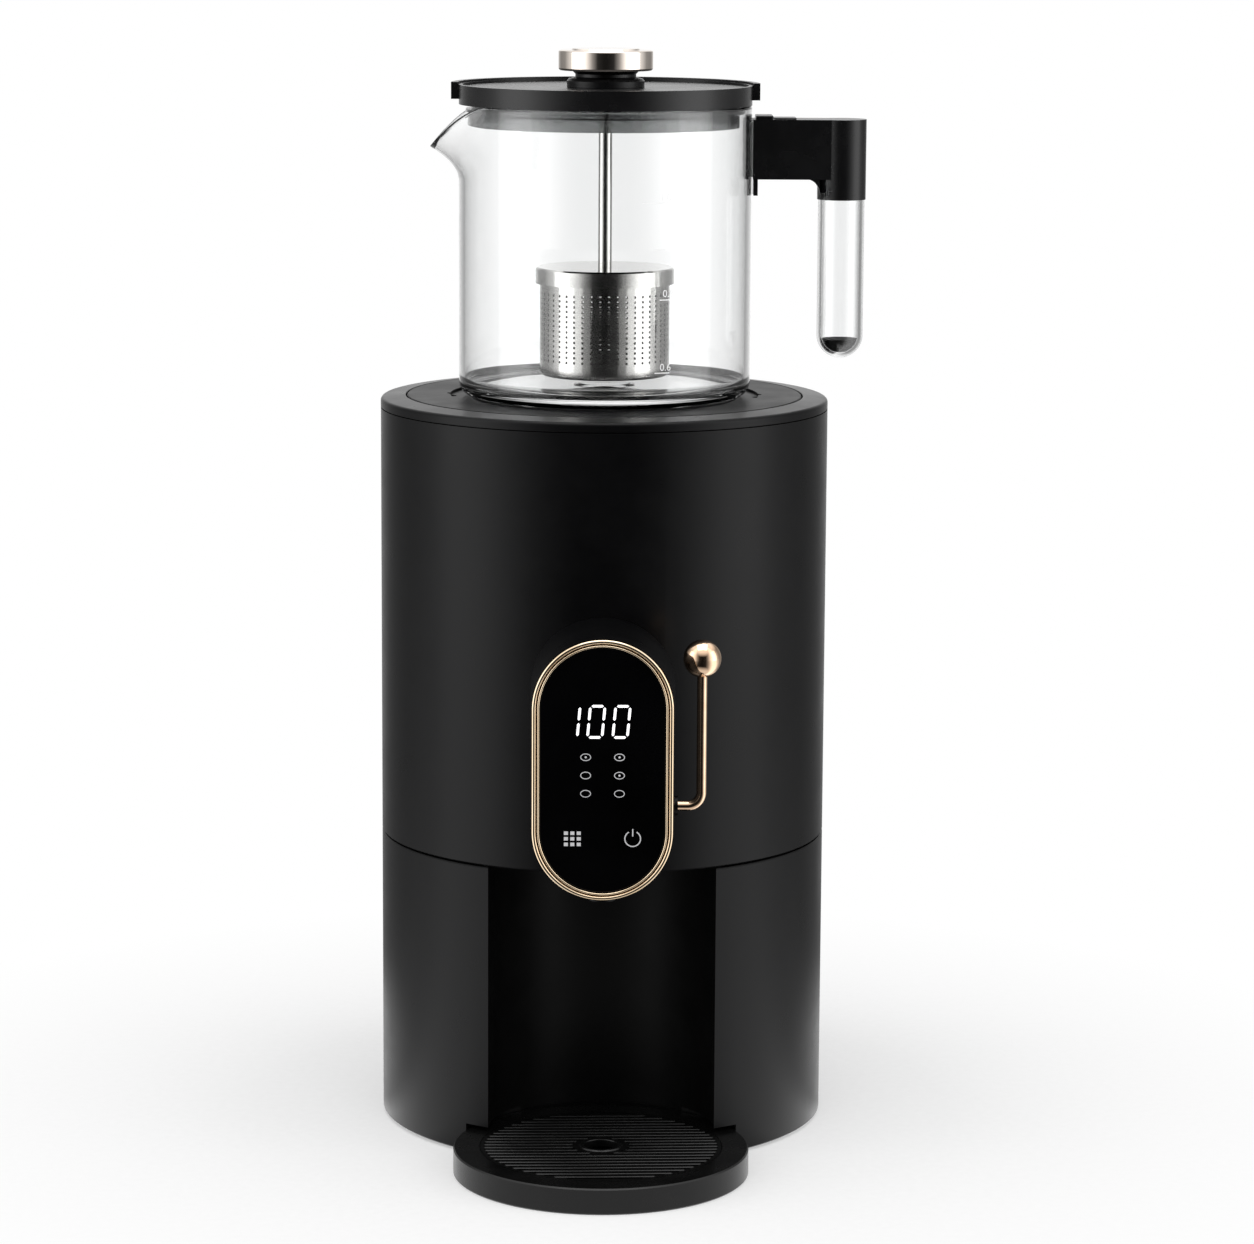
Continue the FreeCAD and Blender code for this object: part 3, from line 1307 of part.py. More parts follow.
LUG_ANGLE = 16.0
LUG_COUNT = 2
HOLE_ROWS = 4
HOLE_COLUMNS = 20
BALL_STEPS = 12
BALL_SOCKET = 3.0
DOME_STEPS = 4
DOME_START = -78.0
PLUG_EDGE = 12.0

make_base_plate()
make_base_screws()
make_base_feet()
make_lower_shell()
make_niche_liner()
make_mid_deck()
make_upper_shell()
make_top_ring()
make_boiler_tank()
make_tank_gasket()
make_heating_plate()
make_boiler_controls()
make_power_board()
make_cord_gland()
make_pod_housing()
make_pod_screws()
make_bezel_ring()
make_display()
make_tap_body()
make_water_path()
make_valve()
make_lever()
make_boiler_lid()
make_glass_jug()
make_handle()
make_pot_lid()
make_plunger()
make_infuser_cup()
make_drip_tray()
doc.recompute()

for item in doc.Objects:
    if "Invalid" in item.State or "Error" in item.State:
        raise RuntimeError("%s failed: %s" % (item.Label, item.State))
for node in NODES:
    if node.Shape.isNull() or not node.Shape.isValid():
        raise RuntimeError(node.Label + " has no valid shape")

os.makedirs("parts", exist_ok=True)
for node in NODES:
    node.Shape.exportStep(os.path.join("parts", node.Label + ".step"))
    print("%-20s %d solid(s) %10.1f mm3" % (node.Label, len(node.Shape.Solids), node.Shape.Volume))
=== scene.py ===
"""Looks of the automatic tea maker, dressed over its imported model.

Lengths are millimetres, except where a docstring says metres. Meshes are in metres, in the
model's own frame.
"""

from __future__ import annotations

import logging
import math
from dataclasses import dataclass
from enum import Enum
from typing import Sequence

import bmesh
import bpy
import numpy as np
from mathutils import Matrix, Vector


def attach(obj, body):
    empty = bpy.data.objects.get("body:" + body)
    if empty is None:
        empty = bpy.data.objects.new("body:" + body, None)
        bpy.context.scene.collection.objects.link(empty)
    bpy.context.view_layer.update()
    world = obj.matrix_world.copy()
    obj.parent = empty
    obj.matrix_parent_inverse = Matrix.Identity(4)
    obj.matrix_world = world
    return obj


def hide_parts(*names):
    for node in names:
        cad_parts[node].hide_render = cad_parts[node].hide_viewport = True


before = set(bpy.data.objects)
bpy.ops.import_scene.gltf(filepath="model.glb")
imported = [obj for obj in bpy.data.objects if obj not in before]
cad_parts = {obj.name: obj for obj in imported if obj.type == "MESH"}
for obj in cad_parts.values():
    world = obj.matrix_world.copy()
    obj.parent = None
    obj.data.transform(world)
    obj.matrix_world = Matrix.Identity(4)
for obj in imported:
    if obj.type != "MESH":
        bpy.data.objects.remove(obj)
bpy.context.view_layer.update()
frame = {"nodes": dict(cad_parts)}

MM = 0.001
IMAGE_WIDTH = 1254
log = logging.getLogger("tea_maker")

Tree = bpy.types.NodeTree
Socket = bpy.types.NodeSocket
Piece = bpy.types.Object
Pair = tuple[float, float]
Triple = tuple[float, float, float]
Colour = tuple[float, float, float, float]


class Body(Enum):
    """The moving bodies that carry a new piece."""

    BASE = "base"
    TAP_LEVER = "tap_lever"
    TEAPOT = "teapot"
    PLUNGER = "plunger"
    INFUSER = "infuser"
    GRILLE = "grille"


class Slot(Enum):
    """The material slots that the record names."""

    BLACK_PLASTIC = "black_plastic"
    BLACK_RUBBER = "black_rubber"
    CLEAR_SILICONE = "clear_silicone"
    STEEL = "steel"
    CHROME_KNOB = "chrome_knob"
    ROSE_GOLD = "rose_gold"
    ALUMINIUM = "aluminium"
    CIRCUIT_BOARD = "circuit_board"
    DISPLAY_BLACK = "display_black"
    CLEAR_GLASS = "clear_glass"


class Axis(Enum):
    """The direction that a turned profile's height runs along."""

    UP = "z"
    BACK = "y"


def linear(code: str) -> Colour:
    """Turn an sRGB hex colour into linear light.

    Args:
        code: A hash and six hex digits.

    Returns:
        Linear red, green, blue and an alpha of one.
    """
    digits = code.lstrip("#")
    srgb = np.array([int(digits[i : i + 2], 16) for i in (0, 2, 4)]) / 255.0
    light = np.where(srgb <= 0.04045, srgb / 12.92, ((srgb + 0.055) / 1.055) ** 2.4)
    return (*light.tolist(), 1.0)


def add_node(tree: Tree, kind: str, values: dict | None = None) -> bpy.types.Node:
    """Add one shader node.

    Args:
        tree: The node tree that takes it.
        kind: The node's type name, without its prefix.
        values: Values by the node's own property name, and values or output sockets by the name
            or number of the input that they feed.

    Returns:
        The new node.
    """
    node = tree.nodes.new("ShaderNode" + kind)
    for key, value in (values or {}).items():
        if isinstance(value, Socket):
            tree.links.new(value, node.inputs[key])
        elif isinstance(key, str) and hasattr(node, key):
            setattr(node, key, value)
        else:
            node.inputs[key].default_value = value
    return node


def ramp(tree: Tree, source: Socket, stops: Sequence[tuple[float, tuple]]) -> Socket:
    """Colour a pattern by a ramp.

    Args:
        tree: The node tree.
        source: The pattern's value.
        stops: Place and linear colour of each stop.

    Returns:
        The ramp's colour output.
    """
    node = add_node(tree, "ValToRGB", {"Fac": source})
    band = node.color_ramp.elements
    while len(band) < len(stops):
        band.new(0.5)
    for element, (place, colour) in zip(band, stops):
        element.position = place
        element.color = colour
    return node.outputs["Color"]


def noise(tree: Tree, place: Socket, size: float, detail: float, roughness: float = 0.5) -> Socket:
    """Noise whose largest cells are about as wide as the size, in millimetres."""
    values = {"Scale": 1.0 / (size * MM), "Detail": detail, "Roughness": roughness, "Vector": place}
    return add_node(tree, "TexNoise", values).outputs["Fac"]


def remap(tree: Tree, value: Socket, source: tuple, target: tuple = (0.0, 1.0)) -> Socket:
    """Map a value's source range onto a target range, held at both ends."""
    ends = dict(zip(("From Min", "From Max", "To Min", "To Max"), (*source, *target)))
    return add_node(tree, "MapRange", {"Value": value, **ends}).outputs["Result"]


def calc(tree: Tree, operation: str, *terms: Socket | float) -> Socket:
    """One step of arithmetic on sockets and numbers."""
    return add_node(tree, "Math", {"operation": operation, **dict(enumerate(terms))}).outputs["Value"]


@dataclass(frozen=True)
class Finish:
    """A surface finish: a principled shader with a bump and a wandering roughness.

    grain is the size of the surface's grain, relief its height and cloud the size of the slow
    variation that colour and roughness follow.
    """

    name: str
    slot: Slot
    dark: str
    light: str
    roughness: Pair
    grain: float
    relief: float
    cloud: float = 18.0
    stretch: Triple = (1.0, 1.0, 1.0)

    def shader_values(self) -> dict:
        """Values that are the same all over, by principled socket name."""
        return {"Metallic": 0.0}

    def height(self, tree: Tree, place: Socket) -> Socket:
        """The fine grain that the bump follows, between zero and one."""
        return noise(tree, place, self.grain, 2.0)

    def build(self) -> bpy.types.Material:
        """Make the material.

        Returns:
            The material, in Object coordinates.
        """
        material = bpy.data.materials.new(self.name)
        material.use_nodes = True
        tree = material.node_tree
        shader = tree.nodes["Principled BSDF"]
        place = add_node(tree, "TexCoord").outputs["Object"]
        place = add_node(tree, "Mapping", {"Scale": self.stretch, "Vector": place}).outputs["Vector"]
        cloud = noise(tree, place, self.cloud, 4.0, 0.6)
        bump = {"Strength": 1.0, "Distance": self.relief * MM, "Height": self.height(tree, place)}
        sources = {
            "Base Color": ramp(tree, cloud, ((0.3, linear(self.dark)), (0.72, linear(self.light)))),
            "Roughness": remap(tree, cloud, (0.3, 0.7), self.roughness),
            "Normal": add_node(tree, "Bump", bump).outputs["Normal"],
        }
        for socket, source in sources.items():
            tree.links.new(source, shader.inputs[socket])
        for socket, value in self.shader_values().items():
            shader.inputs[socket].default_value = value
        return material


@dataclass(frozen=True)
class MouldedABS(Finish):
    """Injection-moulded ABS from a fine spark-eroded mould: black with a broad, soft sheen."""

    specular: float = 0.13

    def shader_values(self) -> dict:
        """ABS has an index of about 1.54."""
        return {"Metallic": 0.0, "IOR": 1.54, "Specular IOR Level": self.specular}


@dataclass(frozen=True)
class Metal(Finish):
    """A polished, turned or brushed metal, whose colour is its reflection."""

    def shader_values(self) -> dict:
        """A metal keeps the default index."""
        return {"Metallic": 1.0}


@dataclass(frozen=True)
class Clear(Finish):
    """A clear or translucent solid, such as borosilicate glass or silicone."""

    index: float = 1.47
    transmission: float = 1.0

    def shader_values(self) -> dict:
        """Light passes through the whole solid."""
        return {"IOR": self.index, "Transmission Weight": self.transmission}


@dataclass(frozen=True)
class Laminate(Finish):
    """Solder mask over glass-fibre laminate, with square copper runs showing under it."""

    def height(self, tree: Tree, place: Socket) -> Socket:
        """Copper runs about a millimetre wide stand a little above the board."""
        runs = {"Scale": 1.0 / (8.0 * MM), "Mortar Size": 0.08, "Brick Width": 1.1, "Row Height": 0.4}
        return add_node(tree, "TexBrick", {**runs, "Vector": place}).outputs["Fac"]


@dataclass(frozen=True)
class GlowWhite(Finish):
    """White marks that glow evenly: a lit display's marks glow as lamps do, and on the printed scale the
    glow is painted light.
    """

    glow: float = 0.75

    def shader_values(self) -> dict:
        """The mark glows in its own colour."""
        return {"Emission Color": linear(self.light), "Emission Strength": self.glow}


BLACK = Slot.BLACK_PLASTIC
SATIN_BLACK = MouldedABS("satin_black_abs", BLACK, "#070708", "#0b0b0c", (0.27, 0.33), 0.35, 0.006)
TOP_BLACK = MouldedABS(
    "satin_black_lid_abs", BLACK, "#050506", "#09090a", (0.36, 0.44), 0.35, 0.008, specular=0.09
)
HANDLE_BLACK = MouldedABS(
    "moulded_black_handle_abs", BLACK, "#0d0d0e", "#131314", (0.24, 0.3), 0.4, 0.004, specular=0.3
)
NICHE_BLACK = MouldedABS("fine_textured_black_abs", BLACK, "#060606", "#0a0a0a", (0.36, 0.44), 0.4, 0.01)
TRAY_BLACK = MouldedABS(
    "gloss_black_tray_abs", BLACK, "#0a0a0a", "#111111", (0.22, 0.3), 0.4, 0.005, specular=0.3
)
RUBBER = MouldedABS(
    "moulded_black_rubber", Slot.BLACK_RUBBER, "#101011", "#191919", (0.62, 0.75), 0.5, 0.02, specular=0.35
)
GOLD = Slot.ROSE_GOLD
ROSE_GOLD = Metal(
    "polished_rose_gold_plate", GOLD, "#e2bf9f", "#edcfb2", (0.09, 0.13), 0.25, 0.0006, stretch=(1, 1, 3)
)
BEZEL_GOLD = Metal("turned_pale_gold_bezel", GOLD, "#ecd0aa", "#f5e0c2", (0.1, 0.16), 0.22, 0.001)
KNOB_CHROME = Metal(
    "polished_champagne_chrome", Slot.CHROME_KNOB, "#e9ddd2", "#f4ebe2", (0.05, 0.08), 0.3, 0.0004
)
STEEL = Metal(
    "drawn_stainless_steel", Slot.STEEL, "#b3b1ad", "#c9c7c3", (0.22, 0.32), 0.2, 0.0015, stretch=(1, 1, 5)
)
POLISHED_STEEL = Metal("polished_stainless_steel", Slot.STEEL, "#c9c8c6", "#dad9d6", (0.1, 0.16), 0.2, 0.001)
ALUMINIUM = Metal("die_cast_aluminium", Slot.ALUMINIUM, "#a9aaac", "#bcbdbe", (0.42, 0.55), 0.8, 0.03)
CLEAR = Slot.CLEAR_GLASS
GLASS = Clear("blown_borosilicate_glass", CLEAR, "#fdfefe", "#ffffff", (0.0, 0.008), 30.0, 0.02, cloud=60.0)
SEAL = Slot.CLEAR_SILICONE
SKIRT = Clear(
    "clear_grey_silicone", SEAL, "#6f7171", "#8b8d8d", (0.1, 0.18), 3.0, 0.12, cloud=25.0, index=1.41
)
SILICONE = Clear(
    "translucent_silicone", SEAL, "#cfd1d0", "#e2e3e2", (0.3, 0.4), 1.0, 0.03, index=1.41, transmission=0.8
)
BOARD = Laminate("green_solder_mask", Slot.CIRCUIT_BOARD, "#0b2a17", "#12381f", (0.3, 0.4), 1.0, 0.03)
DARK = Slot.DISPLAY_BLACK
DISPLAY_BLACK = MouldedABS(
    "gloss_black_display_glass", DARK, "#020202", "#050506", (0.03, 0.06), 6.0, 0.002, cloud=40.0
)
LAMP = GlowWhite("lit_white_marks", DARK, "#e8e8ea", "#f6f6f8", (0.4, 0.5), 0.5, 0.002)
KEY_LAMP = GlowWhite("dim_white_marks", DARK, "#9c9c9e", "#b4b4b6", (0.4, 0.5), 0.5, 0.002, glow=0.4)
# The scale's white is its print's own colour; its faint glow is painted light, since print is no lamp.
PRINT_WITH_PAINTED_GLOW = GlowWhite("fired_white_print_painted_glow", CLEAR, "#e4e4e4", "#f2f2f2", (0.45, 0.6), 0.4, 0.004, glow=0.15)
SLOT_FINISHES = (
    *(SATIN_BLACK, RUBBER, SILICONE, STEEL, KNOB_CHROME),
    *(ROSE_GOLD, ALUMINIUM, BOARD, DISPLAY_BLACK, GLASS),
)


def unit(rows: np.ndarray) -> np.ndarray:
    """Scale each row to a length of one."""
    return rows / np.maximum(np.linalg.norm(rows, axis=-1, keepdims=True), 1e-9)


def circle(angle: np.ndarray) -> np.ndarray:
    """Rows (cos a, sin a) of the unit circle."""
    return np.stack([np.cos(angle), np.sin(angle)], axis=-1)


def rounded(corners: Sequence[Triple], steps: int = 6) -> np.ndarray:
    """Round the corners of a profile.

    Each corner (x, y, radius) becomes an arc that touches both its edges: the arc's points turn
    evenly about its centre, and a point just outside each end keeps the flats flat.

    Args:
        corners: The profile's corners in order.
        steps: Points on each arc.

    Returns:
        The rounded profile as rows of (x, y).
    """
    data = np.array(corners, float)
    point, radius = data[:, :2], data[:, 2]
    ahead, behind = (unit(np.roll(point, step, 0) - point) for step in (-1, 1))
    half = np.arccos(np.clip((ahead * behind).sum(1), -1, 1)) / 2
    half = np.clip(half, 1e-3, math.pi / 2 - 1e-3)
    reach = radius / np.tan(half)
    centre = point + unit(ahead + behind) * (radius / np.sin(half))[:, None]
    first = point + behind * reach[:, None] - centre
    last = point + ahead * reach[:, None] - centre
    turn = (math.pi - 2 * half)[:, None, None]
    along = np.linspace(0, 1, steps)[None, :, None]
    arc = np.sin((1 - along) * turn) * first[:, None] + np.sin(along * turn) * last[:, None]
    arc = centre[:, None] + arc / np.sin(turn)
    flat = np.minimum(0.12 * radius, 0.3 * reach)[:, None]
    before, after = (point + side * (reach[:, None] + flat) for side in (behind, ahead))
    return np.concatenate([before[:, None], arc, after[:, None]], axis=1).reshape(-1, 2)


def refined(profile: np.ndarray, step: float) -> np.ndarray:
    """Add points along a profile wherever its edges are longer than a step.

    Args:
        profile: Rows of (x, y).
        step: The longest edge.

    Returns:
        The same line with more points.
    """
    edge = np.linalg.norm(np.diff(profile, axis=0), axis=1)
    place = np.concatenate([[0.0], np.cumsum(edge)])
    every = np.unique(np.concatenate([place, np.arange(step / 2, place[-1], step)]))
    return np.stack([np.interp(every, place, profile[:, i]) for i in (0, 1)], axis=1)


def turned(
    profile: np.ndarray,
    centre: Triple = (0.0, 0.0, 0.0),
    axis: Axis = Axis.UP,
    segments: int = 128,
    stretch: float = 0.0,
) -> np.ndarray:
    """Turn a profile about an axis, or carry it round a stadium.

    A profile point (r, h) goes to r cos t across and r sin t along, moved a stretch away from
    the middle along that second direction, and h on the axis.

    Args:
        profile: Rows of (radius, height).
        centre: Where the axis stands.
        axis: The direction of the heights.
        segments: Points round the axis.
        stretch: Half of the stadium's straight length, zero for a circle.

    Returns:
        A grid of points, one row for each profile point.
    """
    half = segments // 2
    angle = np.linspace(0, math.pi, half + 1)
    angle = np.concatenate([angle, angle + math.pi])
    across, along = np.moveaxis(profile[:, :1, None] * circle(angle), -1, 0)
    along = along + np.repeat([stretch, -stretch], half + 1)
    height = np.repeat(profile[:, 1:], len(angle), axis=1)
    parts = (across, along, height) if axis is Axis.UP else (across, height, along)
    return np.stack(parts, axis=-1) + np.array(centre)


def capped(grid: np.ndarray) -> np.ndarray:
    """Close a row of rings by a row at the middle of its first ring and of its last."""
    first, last = (np.broadcast_to(ring.mean(0), (1, *ring.shape)) for ring in (grid[0], grid[-1]))
    return np.concatenate([first, grid, last])


def carried(path: np.ndarray, profile: np.ndarray, side: Triple) -> np.ndarray:
    """Carry a closed profile along a flat path, with flat ends.

    At each path point the profile's x runs along side, which is square to the path's plane, and
    its y along the cross product of the path's direction and side.

    Args:
        path: Rows of (x, y, z).
        profile: Rows of (x, y), a closed outline.
        side: The plane's normal.

    Returns:
        A grid of points, one row for each path point and one more at each end.
    """
    flat = np.array(side, float)
    up = np.cross(unit(np.gradient(path, axis=0)), flat)
    return capped(path[:, None] + profile[None, :, :1] * flat + profile[None, :, 1:] * up[:, None])


def upright(flat: np.ndarray, setback: float) -> np.ndarray:
    """Stand rows of (x, z) up in the plane at one y."""
    return np.insert(flat, 1, setback, axis=1)


def round_path(corners: Sequence[Triple], setback: float, steps: int) -> np.ndarray:
    """A path with rounded corners in an upright plane that faces the front.

    Args:
        corners: The path's (x, z, corner radius).
        setback: The plane's y.
        steps: Points on each arc.

    Returns:
        Rows of (x, y, z).
    """
    line = rounded(corners, steps)
    keep = np.linalg.norm(np.diff(line, axis=0), axis=1) > 1e-4
    return upright(line[np.concatenate([[True], keep])], setback)


def ring_points(radius: np.ndarray | float, angle: np.ndarray, height: np.ndarray) -> np.ndarray:
    """Points r cos a, r sin a, h about the upright axis."""
    return np.stack(np.broadcast_arrays(radius * np.cos(angle), radius * np.sin(angle), height), axis=-1)


def disc(points: int) -> np.ndarray:
    """The outline of a circle with a radius of one."""
    return circle(np.linspace(0, 2 * math.pi, points, endpoint=False))


def rectangle(left: float, low: float, right: float, high: float) -> np.ndarray:
    """The outline of a rectangle."""
    return np.array([(left, low), (right, low), (right, high), (left, high)])


def placed(name: str, data: bpy.types.ID) -> Piece:
    """Make an object and link it to the scene.

    Args:
        name: Its name.
        data: Its mesh, camera or lamp.

    Returns:
        The object.
    """
    piece = bpy.data.objects.new(name, data)
    bpy.context.scene.collection.objects.link(piece)
    return piece


class Surface:
    """Grids of points that become one mesh."""

    def __init__(self) -> None:
        """Start with no points."""
        self.points: list[np.ndarray] = []
        self.faces: list[np.ndarray] = []
        self.count = 0

    def add_quads(self, flat: np.ndarray, quads: np.ndarray) -> "Surface":
        """Add a closed shell given as points and quads, turned outwards by its signed volume.

        Args:
            flat: Rows of (x, y, z).
            quads: Rows of four point numbers.

        Returns:
            This surface.
        """
        corner = flat[quads] - flat.mean(0)
        cross = np.cross(corner[:, 1] - corner[:, 0], corner[:, 2] - corner[:, 0])
        cross += np.cross(corner[:, 2] - corner[:, 0], corner[:, 3] - corner[:, 0])
        if (cross * corner.mean(1)).sum() < 0:
            quads = quads[:, ::-1]
        self.points.append(flat)
        self.faces.append(quads + self.count)
        self.count += len(flat)
        return self

    def add(self, grid: np.ndarray, wrap_rows: bool = False) -> "Surface":
        """Add a closed shell given as a grid, whose last column joins its first.

        Args:
            grid: Points in rows and columns.
            wrap_rows: Whether the last row joins the first too.

        Returns:
            This surface.
        """
        rows, columns = grid.shape[:2]
        index = np.arange(rows * columns).reshape(rows, columns)
        if wrap_rows:
            index = np.concatenate([index, index[:1]], axis=0)
        index = np.concatenate([index, index[:, :1]], axis=1)
        corners = (index[:-1, :-1], index[1:, :-1], index[1:, 1:], index[:-1, 1:])
        return self.add_quads(grid.reshape(-1, 3), np.stack(corners, axis=-1).reshape(-1, 4))

    def mesh(self, name: str, sharp: float) -> bpy.types.Mesh:
        """Make the mesh in metres, with its seams and poles closed.

        Args:
            name: Its name.
            sharp: The angle in degrees above which an edge stays sharp.

        Returns:
            The mesh.
        """
        points = np.concatenate(self.points) * MM
        quads = np.concatenate(self.faces)
        mesh = bpy.data.meshes.new(name)
        mesh.vertices.add(len(points))
        mesh.vertices.foreach_set("co", points.ravel())
        mesh.loops.add(quads.size)
        mesh.loops.foreach_set("vertex_index", quads.ravel().astype(np.int32))
        mesh.polygons.add(len(quads))
        mesh.polygons.foreach_set("loop_start", np.arange(0, quads.size, 4, dtype=np.int32))
        mesh.update(calc_edges=True)
        shell = bmesh.new()
        shell.from_mesh(mesh)
        bmesh.ops.remove_doubles(shell, verts=shell.verts, dist=1e-6)
        shell.to_mesh(mesh)
        shell.free()
        mesh.polygons.foreach_set("use_smooth", np.ones(len(mesh.polygons), bool))
        mesh.set_sharp_from_angle(angle=math.radians(sharp))
        mesh.validate()
        return mesh


class Workshop:
    """Makes each finish once and dresses the CAD nodes."""

    def __init__(self, nodes: dict[str, Piece]) -> None:
        """Remember the CAD nodes by name."""
        self.nodes = nodes
        self.made: dict[str, bpy.types.Material] = {}

    def finish(self, finish: Finish) -> bpy.types.Material:
        """The material of a finish, made once.

        Args:
            finish: The finish.

        Returns:
            Its material.
        """
        if finish.name not in self.made:
            self.made[finish.name] = finish.build()
        return self.made[finish.name]

    def dress(self, name: str, finish: Finish) -> None:
        """Give one CAD node a finish."""
        for slot in self.nodes[name].material_slots:
            slot.material = self.finish(finish)

    def dress_by_slot(self) -> None:
        """Give every CAD node the finish of the slot that it was packed with."""
        plain = {finish.slot.value: finish for finish in SLOT_FINISHES}
        for node in self.nodes.values():
            for slot in node.material_slots:
                slot.material = self.finish(plain[slot.material.name.split(".")[0]])


@dataclass
class Assembly:
    """A sub-assembly: the CAD nodes that it dresses, and the finer pieces that one body carries."""

    shop: Workshop
    body = Body.BASE
    dressing = {}

    def make(
        self,
        name: str,
        finish: Finish,
        shape: Surface | bpy.types.Mesh,
        stands_for: Sequence[str] = (),
        sharp: float = 40.0,
    ) -> Piece:
        """Make a piece and place it on its body.

        Args:
            name: The piece's name.
            finish: Its finish.
            shape: Its surface, or a mesh in metres.
            stands_for: CAD nodes that it replaces.
            sharp: The angle in degrees above which a surface's edge stays sharp.

        Returns:
            The piece.
        """
        mesh = shape.mesh(name, sharp) if isinstance(shape, Surface) else shape
        piece = placed(name, mesh)
        mesh.materials.append(self.shop.finish(finish))
        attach(piece, self.body.value)
        if stands_for:
            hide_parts(*stands_for)
        return piece

    def pieces(self) -> list[Piece]:
        """The new pieces, in order."""
        return []

    def build(self) -> list[Piece]:
        """Dress the CAD nodes and make the new pieces.

        Returns:
            The new pieces.
        """
        for name, finish in self.dressing.items():
            self.shop.dress(name, finish)
        return self.pieces()


@dataclass
class Housing(Assembly):
    """The round housing with its niche, top ring and boiler lid."""

    radius: float = 100.0
    ring_bottom: float = 322.15
    ring_width: float = 3.2
    shoulder: float = 323.3
    rim: float = 327.4
    crown: float = 328.6
    crown_radius: float = 88.8
    dressing = {"niche_liner": NICHE_BLACK, "lid_plate": TOP_BLACK}

    def top_ring(self) -> Piece:
        """The ring round the lid: an upright edge, then a crown that rises inwards.

        Returns:
            The ring.
        """
        inside = self.radius - self.ring_width
        profile = rounded(
            (
                (self.radius, self.shoulder, 0.4),
                (self.radius, self.rim, 1.6),
                (self.crown_radius, self.crown, 0.5),
                (self.crown_radius, self.ring_bottom, 0.2),
                (inside, self.ring_bottom, 0.2),
                (inside, self.shoulder, 0.2),
            )
        )
        ring = Surface().add(turned(profile, segments=256), wrap_rows=True)
        return self.make("top_ring_crown", SATIN_BLACK, ring, ("top_ring",))

    def pieces(self) -> list[Piece]:
        """The top ring."""
        return [self.top_ring()]


